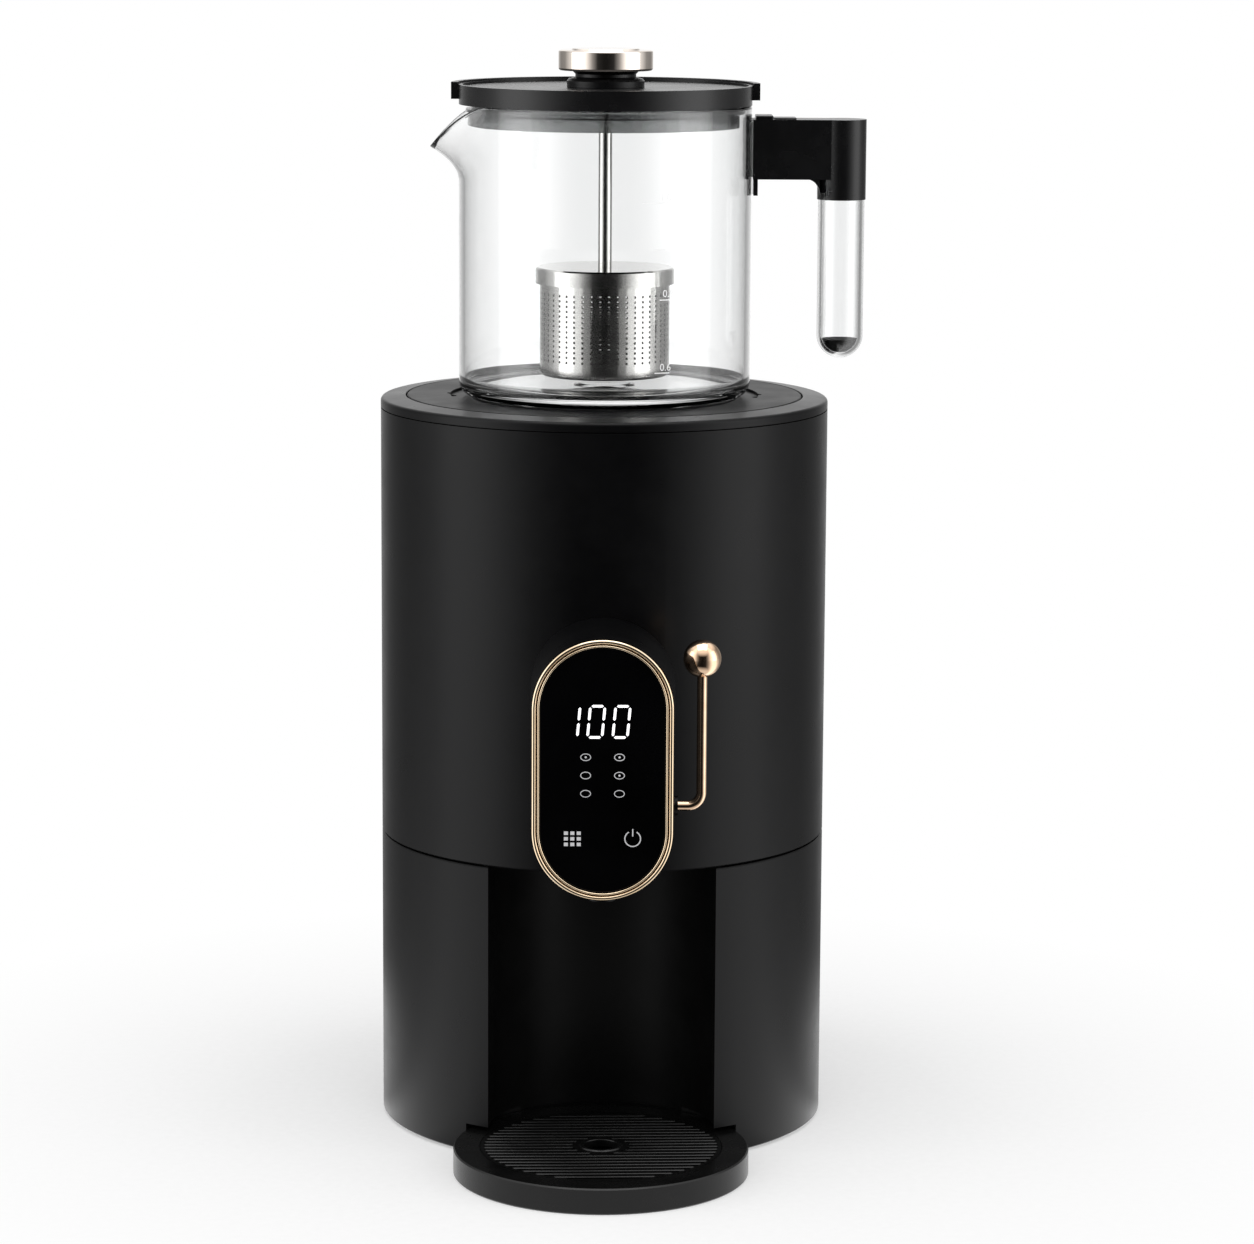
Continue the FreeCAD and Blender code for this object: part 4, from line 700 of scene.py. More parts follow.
@dataclass
class ControlPod(Assembly):
    """The pod's gold bezel, its black glass and the lit marks behind it.

    The marks' places are (x, z). A digit's bars go by the letters a to f, clockwise from the top.
    """

    middle: float = 186.5
    half_length: float = 26.0
    front: float = -147.0
    bezel_radius: float = 29.8
    bezel_width: float = 3.2
    bezel_height: float = 1.8
    bezel_depth: float = 3.2
    outer_bead: float = 0.92
    inner_bead: float = 0.45
    groove_depth: float = 1.9
    glass_gap: float = 0.15
    glass_front: float = -147.9
    glass_thickness: float = 2.0
    mark_height: float = 0.06
    mark_lift: float = 0.01
    digit_width: float = 6.1
    digit_height: float = 13.3
    bar_weight: float = 1.1
    bar_gap: float = 0.5
    lean: float = 0.09
    digits_foot: float = 200.8
    digits: tuple[tuple[str, float], ...] = (("bc", -16.8), ("abcdef", -6.4), ("abcdef", 4.2))
    key_rows: Triple = (192.3, 184.5, 176.7)
    key_reach: float = 7.1
    key_size: Pair = (2.25, 1.6)
    key_line: float = 0.32
    key_dot: float = 0.45
    dotted_keys: tuple[tuple[int, int], ...] = ((0, 0), (0, 1), (1, 1))
    grid_middle: Pair = (-12.6, 157.3)
    grid_pitch: Pair = (2.7, 2.4)
    grid_square: Pair = (0.85, 0.75)
    power_middle: Pair = (12.8, 157.4)
    power_radius: float = 3.3
    power_line: float = 0.24
    power_stem: Pair = (1.0, 4.2)
    power_angles: Pair = (-240.0, 60.0)

    def bezel(self) -> Piece:
        """The bezel: a wide outer bead, a groove and a fine inner bead, carried round the pod.

        Returns:
            The bezel.
        """
        outer, inner = self.bezel_radius, self.bezel_radius - self.bezel_width
        face = self.front - self.bezel_height
        half = circle(np.linspace(0, math.pi, 13)) * (1, -1)
        wide, fine = self.outer_bead, self.inner_bead
        places = ((outer - wide, wide), (inner + fine, fine))
        beads = [size * half + (place, face + size) for place, size in places]
        foot = [(inner, self.front + self.bezel_depth), (outer, self.front + self.bezel_depth)]
        deep = face + self.groove_depth
        groove = [(outer - 2 * wide, deep), (inner + 2 * fine, deep)]
        profile = np.concatenate([beads[0], groove, beads[1], foot])
        grid = turned(profile, (0, 0, self.middle), Axis.BACK, 192, self.half_length)
        return self.make("bezel_beads", BEZEL_GOLD, Surface().add(grid, wrap_rows=True), ("bezel_ring",))

    def glass(self) -> Piece:
        """The black glass: a stadium plate with a ground edge.

        Returns:
            The glass.
        """
        radius = self.bezel_radius - self.bezel_width - self.glass_gap
        front, back = self.glass_front, self.glass_front + self.glass_thickness
        profile = rounded(((0, front, 0), (radius, front, 0.5), (radius, back, 0.2), (0, back, 0)))
        grid = turned(profile, (0, 0, self.middle), Axis.BACK, 160, self.half_length)
        return self.make("display_pane", DISPLAY_BLACK, Surface().add(grid), ("display_glass",))

    def thin(self, first: np.ndarray, second: np.ndarray) -> np.ndarray:
        """A thin flat strip on the glass between two outlines with as many points each.

        Args:
            first: Rows of (x, z).
            second: Rows of (x, z).

        Returns:
            A grid of four rows: first and second in front, second and first behind.
        """
        front, back = self.glass_front - self.mark_height, self.glass_front - self.mark_lift
        rows = ((first, front), (second, front), (second, back), (first, back))
        return np.stack([upright(flat, depth) for flat, depth in rows])

    def plate(self, outline: np.ndarray) -> np.ndarray:
        """A thin plate on the glass, fanned from its middle on both faces."""
        return self.thin(np.broadcast_to(outline.mean(0), outline.shape), outline)

    def digit_bars(self, lit: str, left: float) -> list[np.ndarray]:
        """The bars of one slanted digit.

        Each bar is a hexagon between two corners of the digit, drawn in by a small gap, and the
        whole digit leans by a fixed share of its height.

        Args:
            lit: The lit bars' letters.
            left: The digit's left side.

        Returns:
            The outlines of its lit bars.
        """
        corner = dict(zip("abcdef", ((0, 2), (1, 2), (1, 1), (1, 0), (0, 0), (0, 1))))
        follower = dict(zip("abcdef", "bcdefa"))
        bars = []
        for letter in lit:
            start, end = (
                np.array(corner[name], float) * (self.digit_width, self.digit_height / 2)
                for name in (letter, follower[letter])
            )
            along = unit(end - start)
            start, end = start + along * self.bar_gap, end - along * self.bar_gap
            tip = along * self.bar_weight / 2
            side = np.array([-tip[1], tip[0]])
            near, far = start + tip, end - tip
            bar = np.array([start, near + side, far + side, end, far - side, near - side])
            bars.append(bar + bar[:, 1:] * (self.lean, 0) + (left, self.digits_foot))
        return bars

    def figures(self) -> Piece:
        """The lit temperature, three slanted digits.

        Returns:
            The digits as one piece.
        """
        surface = Surface()
        for lit, left in self.digits:
            for bar in self.digit_bars(lit, left):
                surface.add(self.plate(bar))
        return self.make("lit_figures", LAMP, surface)

    def keys(self) -> Piece:
        """Six oval keys, the grid key and the power key.

        Returns:
            The keys' marks as one piece.
        """
        surface = Surface()
        oval, size = disc(40), np.array(self.key_size)
        for row, height in enumerate(self.key_rows):
            for column, across in enumerate((-self.key_reach, self.key_reach)):
                middle = (across, height)
                inner = oval * (size - self.key_line) + middle
                surface.add(self.thin(oval * size + middle, inner), wrap_rows=True)
                if (row, column) in self.dotted_keys:
                    surface.add(self.plate(oval * self.key_dot + middle))
        wide, high = self.grid_square
        square = rectangle(-wide, -high, wide, high) + self.grid_middle
        for across in (-1, 0, 1):
            for up in (-1, 0, 1):
                surface.add(self.plate(square + np.array(self.grid_pitch) * (across, up)))
        angle = np.radians(np.linspace(*self.power_angles, 36))
        line = self.power_line
        flat = self.power_radius * circle(angle) + self.power_middle
        arc = upright(flat, self.glass_front - self.mark_height / 2)
        surface.add(carried(arc, rectangle(-self.mark_height / 2, -line, 0.02, line), (0, 1, 0)))
        across, height = self.power_middle
        low, top = self.power_stem
        surface.add(self.plate(rectangle(across - line, height + low, across + line, height + top)))
        return self.make("key_marks", KEY_LAMP, surface)

    def pieces(self) -> list[Piece]:
        """The bezel, the glass and its marks."""
        return [self.bezel(), self.glass(), self.figures(), self.keys()]


@dataclass
class TapLever(Assembly):
    """The bent rose gold lever and its ball."""

    setback: float = -128.0
    height: float = 167.5
    reach: float = 42.0
    bend: float = 6.0
    rod_radius: float = 2.15
    rod_top: float = 225.0
    ball_height: float = 231.0
    ball_radius: float = 8.1
    ball_flat: float = 2.6
    inner_end: float = 6.0
    body = Body.TAP_LEVER

    def rod(self) -> Piece:
        """A circle carried along the bent arm.

        Returns:
            The rod.
        """
        corners = (
            (self.inner_end, self.height, 0),
            (self.reach, self.height, self.bend),
            (self.reach, self.rod_top, 0),
        )
        path = round_path(corners, self.setback, 20)
        rod = Surface().add(carried(path, self.rod_radius * disc(40), (0, 1, 0)))
        return self.make("lever_rod_polished", ROSE_GOLD, rod, ("lever_rod",))

    def ball(self) -> Piece:
        """The ball, with a flat below where the rod enters.

        Returns:
            The ball.
        """
        angle = np.linspace(-math.pi / 2, math.pi / 2, 64)
        profile = self.ball_radius * circle(angle)
        foot = math.sqrt(self.ball_radius**2 - self.ball_flat**2)
        profile[:, 1] = np.maximum(profile[:, 1], -foot)
        ball = Surface().add(turned(profile, (self.reach, self.setback, self.ball_height)))
        return self.make("lever_ball_polished", ROSE_GOLD, ball, ("lever_ball",))

    def pieces(self) -> list[Piece]:
        """The rod and the ball."""
        return [self.rod(), self.ball()]


@dataclass
class Teapot(Assembly):
    """The blown jug with its pulled spout, its printed scale and its glass handle.

    A scale line is its height, its middle as an arc length from the front, its length and its
    weight. A number is its text, its middle and its foot's height. A slab is two corners and the
    radius of its edges.
    """

    radius: float = 65.0
    wall: float = 2.5
    floor: float = 4.5
    bottom: float = 328.4
    rim: float = 457.3
    foot_rise: float = 0.9
    floor_rise: float = 0.8
    spout_reach: float = 13.4
    spout_half_angle: float = 37.0
    spout_root: float = 424.0
    spout_tip: float = 438.9
    spout_clear: float = 20.0
    handle_axis: float = 105.0
    tube_radius: float = 10.3
    tube_wall: float = 2.0
    tube_bottom: float = 345.4
    tube_top: float = 427.1
    lines: tuple[tuple[float, ...], ...] = (
        (418.2, 25.4, 19.0, 0.35),
        (398.0, 24.0, 6.0, 0.4),
        (376.3, 27.0, 5.4, 0.5),
        (344.6, 25.6, 7.0, 0.5),
    )
    numbers: tuple[tuple[str, float, float], ...] = (
        ("1.0", 27.0, 419.2),
        ("0.8", 28.4, 377.6),
        ("0.6", 27.2, 345.6),
    )
    number_size: float = 4.4
    number_depth: float = 0.035
    number_lift: float = 0.055
    slabs: tuple[tuple[Triple, Triple, float], ...] = (
        ((66.4, -7.5, 450.9), (74.2, 7.5, 453.2), 0.6),
        ((74.6, -6.0, 450.9), (84.5, 6.0, 452.2), 0.4),
    )
    hollow: float = 6.5
    hollow_corner: Pair = (94.9, 425.5)
    arm_half_width: float = 8.4
    body = Body.TEAPOT
    dressing = {"handle_bracket": HANDLE_BLACK}

    def pull_spout(self, grid: np.ndarray) -> np.ndarray:
        """Pull the spout out of the upper wall.

        Within the half angle from the left, the share w of an angle a is cos^2(90 a / half
        angle). With the height h over the root as a share of the wall above it, a point moves
        out by reach w^0.8 h^1.9 and down by the tip's drop times w^1.15 h.

        Args:
            grid: The turned jug.

        Returns:
            The jug with its spout.
        """
        angle = np.degrees(np.arctan2(grid[..., 1], -grid[..., 0]))
        radius = np.hypot(grid[..., 0], grid[..., 1])
        near = np.clip(np.abs(angle) / self.spout_half_angle, 0, 1)
        share = np.where(radius > self.spout_clear, np.cos(near * math.pi / 2) ** 2, 0.0)
        rise = np.clip((grid[..., 2] - self.spout_root) / (self.rim - self.spout_root), 0, 1)
        growth = 1 + self.spout_reach * share**0.8 * rise**1.9 / np.maximum(radius, 1.0)
        pulled = grid.copy()
        pulled[..., :2] *= growth[..., None]
        pulled[..., 2] -= (self.rim - self.spout_tip) * share**1.15 * rise
        return pulled

    def jug(self) -> Piece:
        """Turn the wall's profile, outside and inside, and pull the spout.

        Returns:
            The jug.
        """
        inside, floor = self.radius - self.wall, self.bottom + self.floor
        profile = rounded(
            (
                (0, self.bottom + self.foot_rise, 0),
                (self.radius - 9.0, self.bottom + self.foot_rise, 1.5),
                (self.radius - 10.5, self.bottom, 0.8),
                (self.radius, self.bottom, 5.8),
                (self.radius, self.rim, 1.2),
                (inside, self.rim, 1.2),
                (inside, floor, 4.5),
                (14.0, floor, 2.0),
                (11.0, floor + self.floor_rise, 2.0),
                (0, floor + 0.6, 0),
            ),
            8,
        )
        grid = self.pull_spout(turned(refined(profile, 1.6), segments=360))
        return self.make("jug_glass", GLASS, Surface().add(grid), ("glass_jug",), 60.0)

    def wrapped(self, across: np.ndarray, lift: np.ndarray, height: np.ndarray) -> np.ndarray:
        """Bend a flat drawing round the jug's wall: across becomes an arc length from the front."""
        return ring_points(self.radius + lift, across / self.radius - math.pi / 2, height)

    def scale(self) -> Piece:
        """The scale's lines: a rectangle carried along an arc of the wall.

        Returns:
            The lines.
        """
        surface = Surface()
        section = rectangle(0.02, -0.5, 0.09, 0.5)[None]
        for height, middle, length, weight in self.lines:
            along = np.linspace(middle - length / 2, middle + length / 2, 8)[:, None]
            surface.add(capped(self.wrapped(along, section[..., 0], height + weight * section[..., 1])))
        # The scale's lines glow faintly: painted light on white print.
        return self.make("litre_scale", PRINT_WITH_PAINTED_GLOW, surface)

    def number(self, text: str, middle: float, height: float) -> Piece:
        """One plain number of the scale, made a thin mesh and wrapped on the wall.

        Args:
            text: The number.
            middle: Its middle, as an arc length from the front.
            height: Its foot.

        Returns:
            The number.
        """
        name = "number_" + text.replace(".", "_")
        curve = bpy.data.curves.new(name, "FONT")
        curve.body = text
        curve.size = self.number_size
        curve.extrude = self.number_depth
        curve.align_x = "CENTER"
        carrier = bpy.data.objects.new(name, curve)
        mesh = bpy.data.meshes.new_from_object(carrier)
        bpy.data.objects.remove(carrier)
        flat = np.empty(len(mesh.vertices) * 3)
        mesh.vertices.foreach_get("co", flat)
        across, up, out = flat.reshape(-1, 3).T
        bent = self.wrapped(across + middle, out + self.number_lift, up + height)
        mesh.vertices.foreach_set("co", (bent * MM).ravel())
        mesh.update()
        mesh.materials.clear()
        # The number glows faintly: painted light on white print.
        return self.make(name, PRINT_WITH_PAINTED_GLOW, mesh)

    def tube(self) -> Piece:
        """The handle's glass tube with its round closed foot.

        Returns:
            The tube.
        """
        outer, inner = self.tube_radius, self.tube_radius - self.tube_wall
        foot, low = circle(np.linspace(-math.pi / 2, 0, 24)), (0, self.tube_bottom + outer)
        lip = (outer - inner) / 2
        rim = lip * circle(np.linspace(0, math.pi, 9)) + (inner + lip, self.tube_top - lip)
        profile = np.concatenate([outer * foot + low, rim, inner * foot[::-1] + low])
        tube = Surface().add(turned(refined(profile, 6.0), (self.handle_axis, 0, 0), segments=96))
        return self.make("handle_tube_glass", GLASS, tube, ("handle_tube",), 60.0)

    def slab(self, low: Triple, high: Triple, edge: float) -> np.ndarray:
        """A low slab with rounded upright edges and a rounded top.

        Its outline is a rectangle with rounded corners, drawn in towards the top along an arc.

        Args:
            low: Its lowest corner.
            high: Its highest corner.
            edge: The radius of its edges.

        Returns:
            A grid with one row for each level.
        """
        centre = (np.array(low) + np.array(high)) / 2
        half = (np.array(high) - np.array(low))[:2] / 2
        outline = rounded([(*corner, edge) for corner in rectangle(*-half, *half)])
        angle = np.linspace(0, math.pi / 2, 6)
        inset = np.concatenate([[0.0], edge * (1 - np.cos(angle))])[:, None, None]
        level = np.concatenate([[low[2]], high[2] - edge + edge * np.sin(angle)])
        ring = outline * (1 - inset / half) + centre[:2]
        height = np.broadcast_to(level[:, None, None], (*ring.shape[:2], 1))
        return capped(np.concatenate([ring, height], axis=-1))

    def bracket_trim(self) -> Piece:
        """The bracket's latch plate and cover strip on top, and the hollow corner under its arm.

        The hollow corner is a quarter circle's outer side, carried across the arm.

        Returns:
            The trim.
        """
        surface = Surface()
        for low, high, edge in self.slabs:
            surface.add(self.slab(low, high, edge))
        angle = np.linspace(0, math.pi / 2, 10)
        arc = self.hollow * (circle(angle)[:, ::-1] - 1) + self.hollow_corner
        outline = np.concatenate([arc, [self.hollow_corner]])
        point = np.broadcast_to(outline[-1], outline.shape)
        wide = self.arm_half_width
        rows = ((point, -wide), (outline, -wide), (outline, wide), (point, wide))
        surface.add(np.stack([upright(flat, across) for flat, across in rows]))
        return self.make("bracket_trim", HANDLE_BLACK, surface)

    def pieces(self) -> list[Piece]:
        """The jug, its scale, the handle's tube, the bracket's trim and the numbers."""
        shapes = [self.jug(), self.scale(), self.tube(), self.bracket_trim()]
        return shapes + [self.number(*number) for number in self.numbers]


@dataclass
class PotLid(Assembly):
    """The pot's lid, its clear skirt and the knob on the plunger."""

    knob_radius: float = 21.0
    knob_bottom: float = 472.5
    knob_top: float = 481.5
    body = Body.PLUNGER
    dressing = {"pot_lid_disc": HANDLE_BLACK, "rod_neck": HANDLE_BLACK, "pot_lid_skirt": SKIRT}

    def knob(self) -> Piece:
        """The turned knob: a thick disc with rounded edges and a low raised top.

        Returns:
            The knob.
        """
        low, high, radius = self.knob_bottom, self.knob_top, self.knob_radius
        profile = rounded(
            (
                (0, low, 0),
                (radius - 0.7, low, 0.4),
                (radius, low + 0.8, 0.6),
                (radius, high - 0.5, 0.7),
                (radius - 1.2, high, 0.4),
                (radius - 5.6, high, 0.3),
                (radius - 6.2, high + 0.6, 0.4),
                (0, high + 0.9, 0),
            ),
            7,
        )
        knob = Surface().add(turned(profile, segments=192))
        return self.make("knob_polished", KNOB_CHROME, knob, ("lid_knob",))

    def pieces(self) -> list[Piece]:
        """The knob."""
        return [self.knob()]


@dataclass
class Infuser(Assembly):
    """The plunger's rod, the infuser's cap and its perforated cup."""

    radius: float = 29.0
    wall: float = 0.8
    bottom: float = 337.4
    wall_foot: float = 339.8
    top: float = 383.5
    holes_from: float = 344.5
    hole_rows: int = 14
    row_pitch: float = 2.25
    hole_columns: int = 46
    hole: float = 1.05
    lug_reach: float = 0.9
    lug_foot: float = 380.05
    lug_height: float = 1.2
    lug_angle: float = 16.0
    body = Body.INFUSER
    dressing = {"plunger_rod": POLISHED_STEEL, "infuser_cap": POLISHED_STEEL}

    def wall_grid(self) -> tuple[np.ndarray, np.ndarray]:
        """The perforated wall: two cylinders on one grid, whose hole cells are left open.

        Columns and rows alternate between steel and hole. A cell with an odd column and an odd
        row is a hole, whose four sides join the two cylinders.

        Returns:
            The points and the quads.
        """
        turn = 2 * math.pi / self.hole_columns
        share = self.hole / (self.radius * turn)
        starts = np.arange(self.hole_columns)[:, None] + np.array([0.0, 1 - share])
        angle = (starts * turn + share * turn / 2).ravel()
        levels = self.holes_from + np.arange(self.hole_rows)[:, None] * self.row_pitch
        levels = (levels + np.array([0.0, self.hole])).ravel()
        rows = np.concatenate([[self.wall_foot], levels, [self.top]])
        rings = [
            ring_points(radius, angle[None], rows[:, None]).reshape(-1, 3)
            for radius in (self.radius, self.radius - self.wall)
        ]
        shift = len(rows) * len(angle)
        index = np.arange(shift).reshape(len(rows), len(angle))
        index = np.concatenate([index, index[:, :1]], axis=1)
        a, b, c, d = index[:-1, :-1], index[:-1, 1:], index[1:, 1:], index[1:, :-1]
        row, column = np.indices(a.shape)
        hole = (row % 2 == 1) & (column % 2 == 1)
        outside = np.stack([a, b, c, d], axis=-1)[~hole]
        inside = np.stack([d, c, b, a], axis=-1)[~hole] + shift
        borders = [(second[hole], first[hole]) for first, second in ((a, b), (b, c), (c, d), (d, a))]
        borders += [(index[0, 1:], index[0, :-1]), (index[-1, :-1], index[-1, 1:])]
        joins = [np.stack([one, one + shift, other + shift, other], axis=-1) for one, other in borders]
        return np.concatenate(rings), np.concatenate([outside, inside, *joins])

    def cup(self) -> Piece:
        """The deep drawn cup: its perforated wall, its rounded floor and its two lugs.

        Returns:
            The cup.
        """
        surface = Surface().add_quads(*self.wall_grid())
        inner = self.radius - self.wall
        floor = rounded(
            (
                (0, self.bottom, 0),
                (self.radius, self.bottom, 1.8),
                (self.radius, self.wall_foot, 0),
                (inner, self.wall_foot, 0),
                (inner, self.bottom + self.wall, 1.0),
                (0, self.bottom + self.wall, 0),
            )
        )
        surface.add(turned(floor, segments=self.hole_columns * 2))
        section = rectangle(-0.2, 0.0, self.lug_reach, self.lug_height)[None]
        for start in (0.0, math.pi):
            angle = np.linspace(start, start + math.radians(self.lug_angle), 7)[:, None]
            lug = ring_points(self.radius + section[..., 0], angle, self.lug_foot + section[..., 1])
            surface.add(capped(lug))
        return self.make("infuser_cup_perforated", POLISHED_STEEL, surface, ("infuser_cup",))

    def pieces(self) -> list[Piece]:
        """The cup."""
        return [self.cup()]


@dataclass
class DripTray(Assembly):
    """The drip tray and its slotted grille, whose bars have round backs."""

    setback: float = -107.0
    top: float = 11.6
    field: float = 51.0
    boss: float = 12.0
    finger_hole: float = 7.5
    rows: int = 22
    pitch: float = 4.4
    bar: float = 2.3
    bar_root: float = 0.3
    bar_end: float = 0.6
    crown: float = 0.45
    turn: float = 2.0
    body = Body.GRILLE
    dressing = {"tray_dish": TRAY_BLACK, "tray_grille": NICHE_BLACK}

    def bars(self) -> Piece:
        """The bars' round backs: a low half oval carried along each bar, clear of the boss.

        Returns:
            The backs and the finger hole's raised lip.
        """
        surface = Surface()
        section = circle(np.linspace(0, math.pi, 9)) * (self.bar / 2, self.crown)
        section = np.concatenate([section, section[[-1, 0]] * (1, 0) - (0, self.bar_root)])
        tilt = math.radians(self.turn)
        along, across = (np.append(circle(angle), 0.0) for angle in (tilt, tilt + math.pi / 2))
        section = section[:, :1] * across + section[:, 1:] * (0.0, 0.0, 1.0)
        size = np.array([0.2, 1.0, 1.0, 0.2])[:, None, None]
        for row in (np.arange(self.rows) - (self.rows - 1) / 2) * self.pitch:
            reach = math.sqrt(self.field**2 - row**2)
            inner = math.sqrt(max(self.boss**2 - row**2, 0.0))
            spans = [(-reach, -inner), (inner, reach)] if inner > 0 else [(-reach, reach)]
            for start, end in spans:
                ends = np.array([start, start + self.bar_end, end - self.bar_end, end])[:, None]
                middle = along * ends + across * row + (0.0, self.setback, self.top)
                surface.add(capped(middle[:, None] + size * section))
        hole = self.finger_hole
        lip = rounded(
            (
                (hole, self.top - 0.4, 0.05),
                (hole, self.top + 0.6, 0.4),
                (hole + 1.6, self.top + 0.6, 0.5),
                (hole + 2.6, self.top - 0.4, 0.05),
            )
        )
        surface.add(turned(lip, (0, self.setback, 0), segments=96), wrap_rows=True)
        return self.make("grille_bar_backs", TRAY_BLACK, surface)

    def pieces(self) -> list[Piece]:
        """The bars' backs."""
        return [self.bars()]


@dataclass
class Studio:
    """The pale floor, the soft lamps, the world and the camera.

    round_light pairs an angle round the object from the front, in degrees, with the light that
    gloss sees there. shadow_fade and near_fade are distances from the object's axis on the floor,
    in metres, whose two ends have the values in whiteness and near_glow. overhead_from is the
    upward share of a direction where the light overhead begins and is full.
    """

    focal_pixels: float = 4300.1
    camera_place: Triple = (0.0, -1916.6, 548.6)
    tilt: float = 0.1673
    pan: float = 0.0056
    roll: float = 0.0055
    floor_radius: float = 3000.0
    floor_sides: int = 96
    fill: float = 0.78
    shadow_fade: Pair = (0.16, 0.4)
    whiteness: Pair = (0.4, 1.0)
    near_fade: Pair = (0.22, 0.4)
    near_glow: Pair = (0.9, 0.0)
    overhead_from: Pair = (0.35, 0.75)
    overhead: float = 1.3
    round_light: tuple[Pair, ...] = (
        (0, 0.01),
        (20, 0.03),
        (33, 0.35),
        (44, 1.0),
        (56, 1.8),
        (80, 1.8),
        (93, 0.9),
        (117, 0.3),
        (140, 0.25),
        (152, 0.4),
        (162, 0.62),
        (171, 1.0),
    )

    def surround(self, tree: Tree, direction: Socket) -> Socket:
        """The light that gloss sees, by its angle round the object from the front.

        The level direction's y over its length runs from -1 in front to 1 behind, and a ramp over
        it holds the light at each angle: dark in front, soft boxes at the sides, white behind.

        Args:
            tree: The node tree.
            direction: A direction or place seen from the object.

        Returns:
            The light's strength.
        """
        flat = add_node(tree, "VectorMath", {"operation": "MULTIPLY", 0: direction, 1: (1, 1, 0)})
        unit = add_node(tree, "VectorMath", {"operation": "NORMALIZE", 0: flat.outputs["Vector"]})
        parts = add_node(tree, "SeparateXYZ", {"Vector": unit.outputs["Vector"]})
        stops = [
            ((1 - math.cos(math.radians(angle))) / 2, (light, light, light, 1))
            for angle, light in self.round_light
        ]
        colour = ramp(tree, remap(tree, parts.outputs["Y"], (-1.0, 1.0)), stops)
        return add_node(tree, "RGBToBW", {"Color": colour}).outputs["Val"]

    def shiny(self, tree: Tree, seen: bpy.types.Node) -> Socket:
        """One for rays that gloss or glass sends out, zero for the others."""
        return calc(tree, "MAXIMUM", seen.outputs["Is Glossy Ray"], seen.outputs["Is Transmission Ray"])

    def camera(self) -> Piece:
        """The camera at the photograph's angle.

        Returns:
            The camera.
        """
        data = bpy.data.cameras.new("camera")
        data.sensor_width = 36.0
        data.lens = self.focal_pixels * data.sensor_width / IMAGE_WIDTH
        data.clip_end = 100.0
        camera = placed("camera", data)
        level = math.cos(self.tilt)
        ahead = Vector((math.sin(self.pan) * level, math.cos(self.pan) * level, -math.sin(self.tilt)))
        right = Vector((math.cos(self.pan), -math.sin(self.pan), 0.0))
        up = right.cross(ahead)
        right, up = (
            math.cos(self.roll) * right + math.sin(self.roll) * up,
            math.cos(self.roll) * up - math.sin(self.roll) * right,
        )
        turn = Matrix((right, up, -ahead)).transposed().to_4x4()
        camera.matrix_world = Matrix.Translation(Vector(self.camera_place) * MM) @ turn
        bpy.context.scene.camera = camera
        return camera

    def paper(self) -> bpy.types.Material:
        """White paper that the eye sees fade to pure white, and gloss sees as the surround.

        Returns:
            The material.
        """
        material = bpy.data.materials.new("matt_white_paper")
        material.use_nodes = True
        tree = material.node_tree
        tree.nodes.clear()
        place = add_node(tree, "TexCoord").outputs["Object"]
        tone = noise(tree, place, 4.0, 3.0)
        tone = ramp(tree, tone, ((0.3, linear("#f0f0f0")), (0.7, linear("#f4f4f4"))))
        paper = add_node(tree, "BsdfDiffuse", {"Roughness": 0.9, "Color": tone})
        white = add_node(tree, "Emission", {"Color": (1, 1, 1, 1), "Strength": 1.0})
        distance = add_node(tree, "VectorMath", {"operation": "LENGTH", 0: place}).outputs["Value"]
        fade = remap(tree, distance, self.shadow_fade, self.whiteness)
        seen = add_node(tree, "LightPath")
        share = calc(tree, "MULTIPLY", fade, seen.outputs["Is Camera Ray"])
        lit = {0: share, 1: paper.outputs["BSDF"], 2: white.outputs["Emission"]}
        lit = add_node(tree, "MixShader", lit).outputs["Shader"]
        near = remap(tree, distance, self.near_fade, self.near_glow)
        strength = calc(tree, "MAXIMUM", near, self.surround(tree, place))
        glow = add_node(tree, "Emission", {"Strength": strength}).outputs["Emission"]
        mixed = add_node(tree, "MixShader", {0: self.shiny(tree, seen), 1: lit, 2: glow})
        add_node(tree, "OutputMaterial", {"Surface": mixed.outputs["Shader"]})
        return material

    def floor(self) -> Piece:
        """A flat pale floor that keeps the soft shadow and fades to white.

        Returns:
            The floor.
        """
        mesh = bpy.data.meshes.new("pale_floor")
        edge = self.floor_radius * MM * disc(self.floor_sides)
        mesh.from_pydata([(*point, 0.0) for point in edge], [], [list(range(self.floor_sides))])
        mesh.materials.append(self.paper())
        floor = placed("pale_floor", mesh)
        return floor

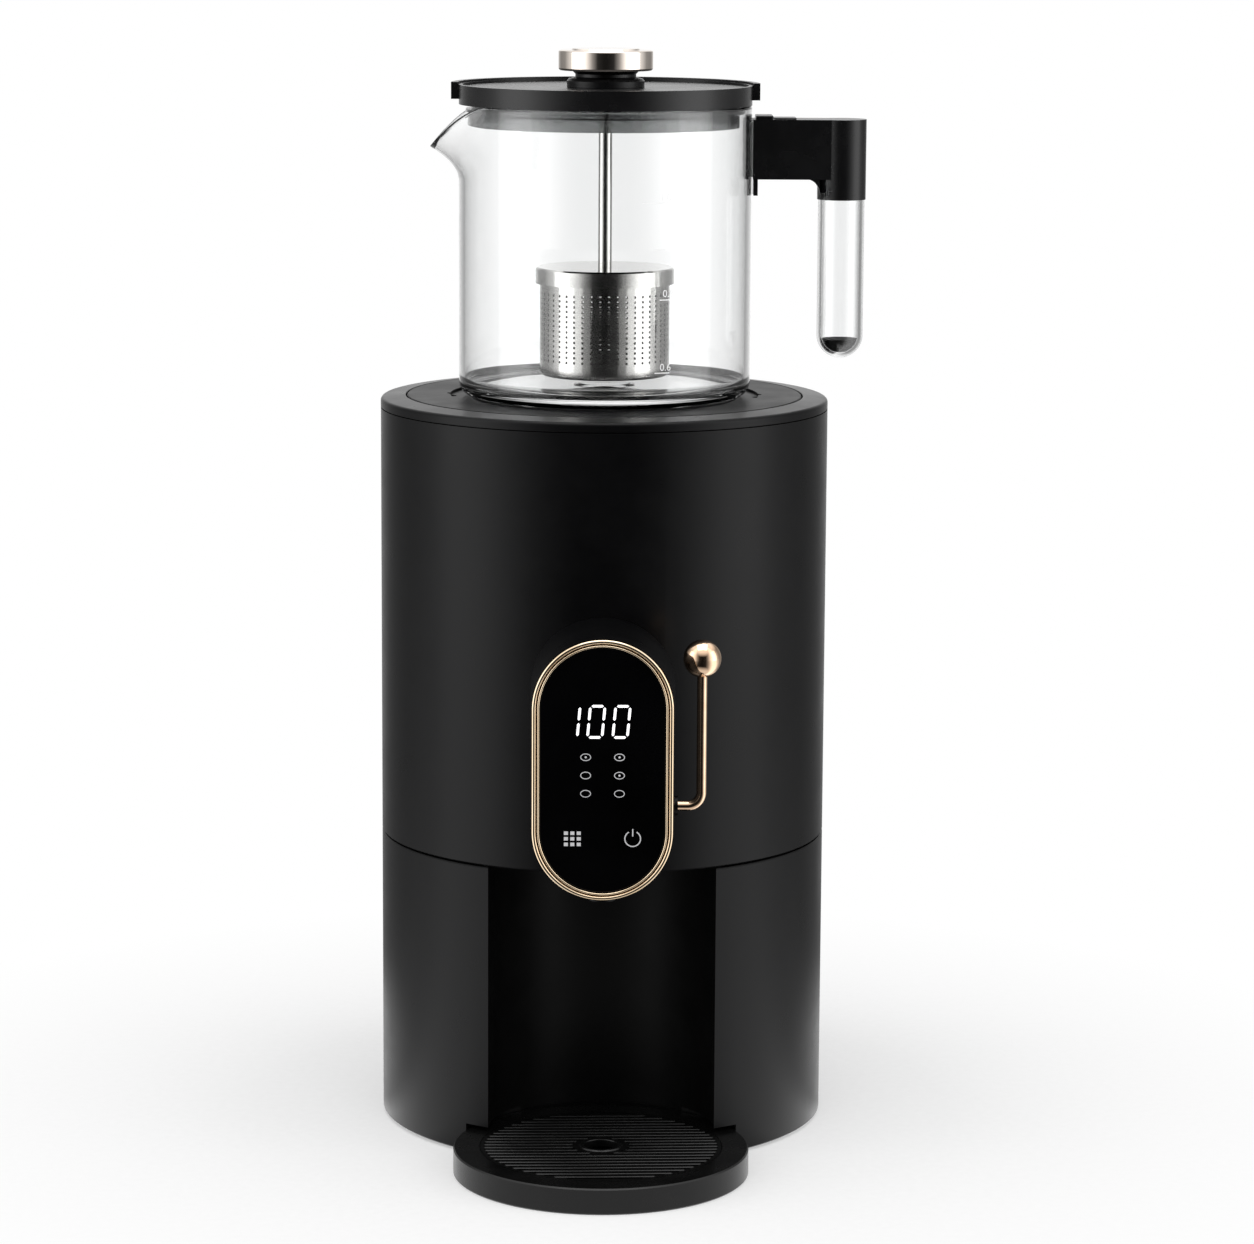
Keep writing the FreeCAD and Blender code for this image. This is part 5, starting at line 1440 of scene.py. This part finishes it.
    def lamp(self, name: str, place: Triple, size: Pair, power: float, aim: Triple) -> Piece:
        """One soft box.

        Args:
            name: Its name.
            place: Where it stands, in metres.
            size: Its width and height, in metres.
            power: Its power in watts.
            aim: The point that it faces, in metres.

        Returns:
            The lamp.
        """
        data = bpy.data.lights.new(name, "AREA")
        data.shape = "RECTANGLE"
        data.size, data.size_y = size
        data.energy = power
        lamp = placed(name, data)
        lamp.location = place
        lamp.rotation_euler = (Vector(aim) - Vector(place)).to_track_quat("-Z", "Y").to_euler()
        return lamp

    def world(self) -> None:
        """White for the eye, an even fill for matt surfaces, and the surround for gloss.

        Gloss sees the brighter of the surround and a light overhead that begins about 20 degrees
        above the level.
        """
        world = bpy.data.worlds.new("studio")
        bpy.context.scene.world = world
        world.use_nodes = True
        tree = world.node_tree
        tree.nodes.clear()
        direction = add_node(tree, "TexCoord").outputs["Generated"]
        seen = add_node(tree, "LightPath")
        height = add_node(tree, "SeparateXYZ", {"Vector": direction}).outputs["Z"]
        overhead = remap(tree, height, self.overhead_from, (0.0, self.overhead))
        light = calc(tree, "MAXIMUM", self.surround(tree, direction), overhead)
        extra = calc(tree, "SUBTRACT", light, self.fill)
        soft = calc(tree, "MULTIPLY_ADD", extra, self.shiny(tree, seen), self.fill)
        strength = calc(tree, "MAXIMUM", soft, seen.outputs["Is Camera Ray"])
        back = add_node(tree, "Background", {"Color": (1, 1, 1, 1), "Strength": strength})
        add_node(tree, "OutputWorld", {"Surface": back.outputs["Background"]})

    def build(self) -> None:
        """Set up the view transform, the world, the camera, the floor and the lamps."""
        bpy.context.scene.view_settings.view_transform = "Standard"
        self.world()
        self.camera()
        self.floor()
        for name, side in (("left_soft_box", -1.5), ("right_soft_box", 1.5)):
            self.lamp(name, (side, -0.4, 0.55), (0.9, 1.5), 3.5, (0, 0, 0.25))
        self.lamp("top_soft_box", (0.0, -0.2, 1.7), (1.3, 1.3), 9.0, (0, 0, 0.3))


def main() -> None:
    """Build the studio and every sub-assembly in order, and report each new piece."""
    logging.basicConfig(level=logging.INFO, format="%(name)s: %(message)s")
    Studio().build()
    shop = Workshop(frame["nodes"])
    shop.dress_by_slot()
    for kind in (Housing, ControlPod, TapLever, Teapot, PotLid, Infuser, DripTray):
        for piece in kind(shop).build():
            log.info("%s: %s, %d faces", kind.__name__, piece.name, len(piece.data.polygons))


if __name__ == "__main__":
    main()
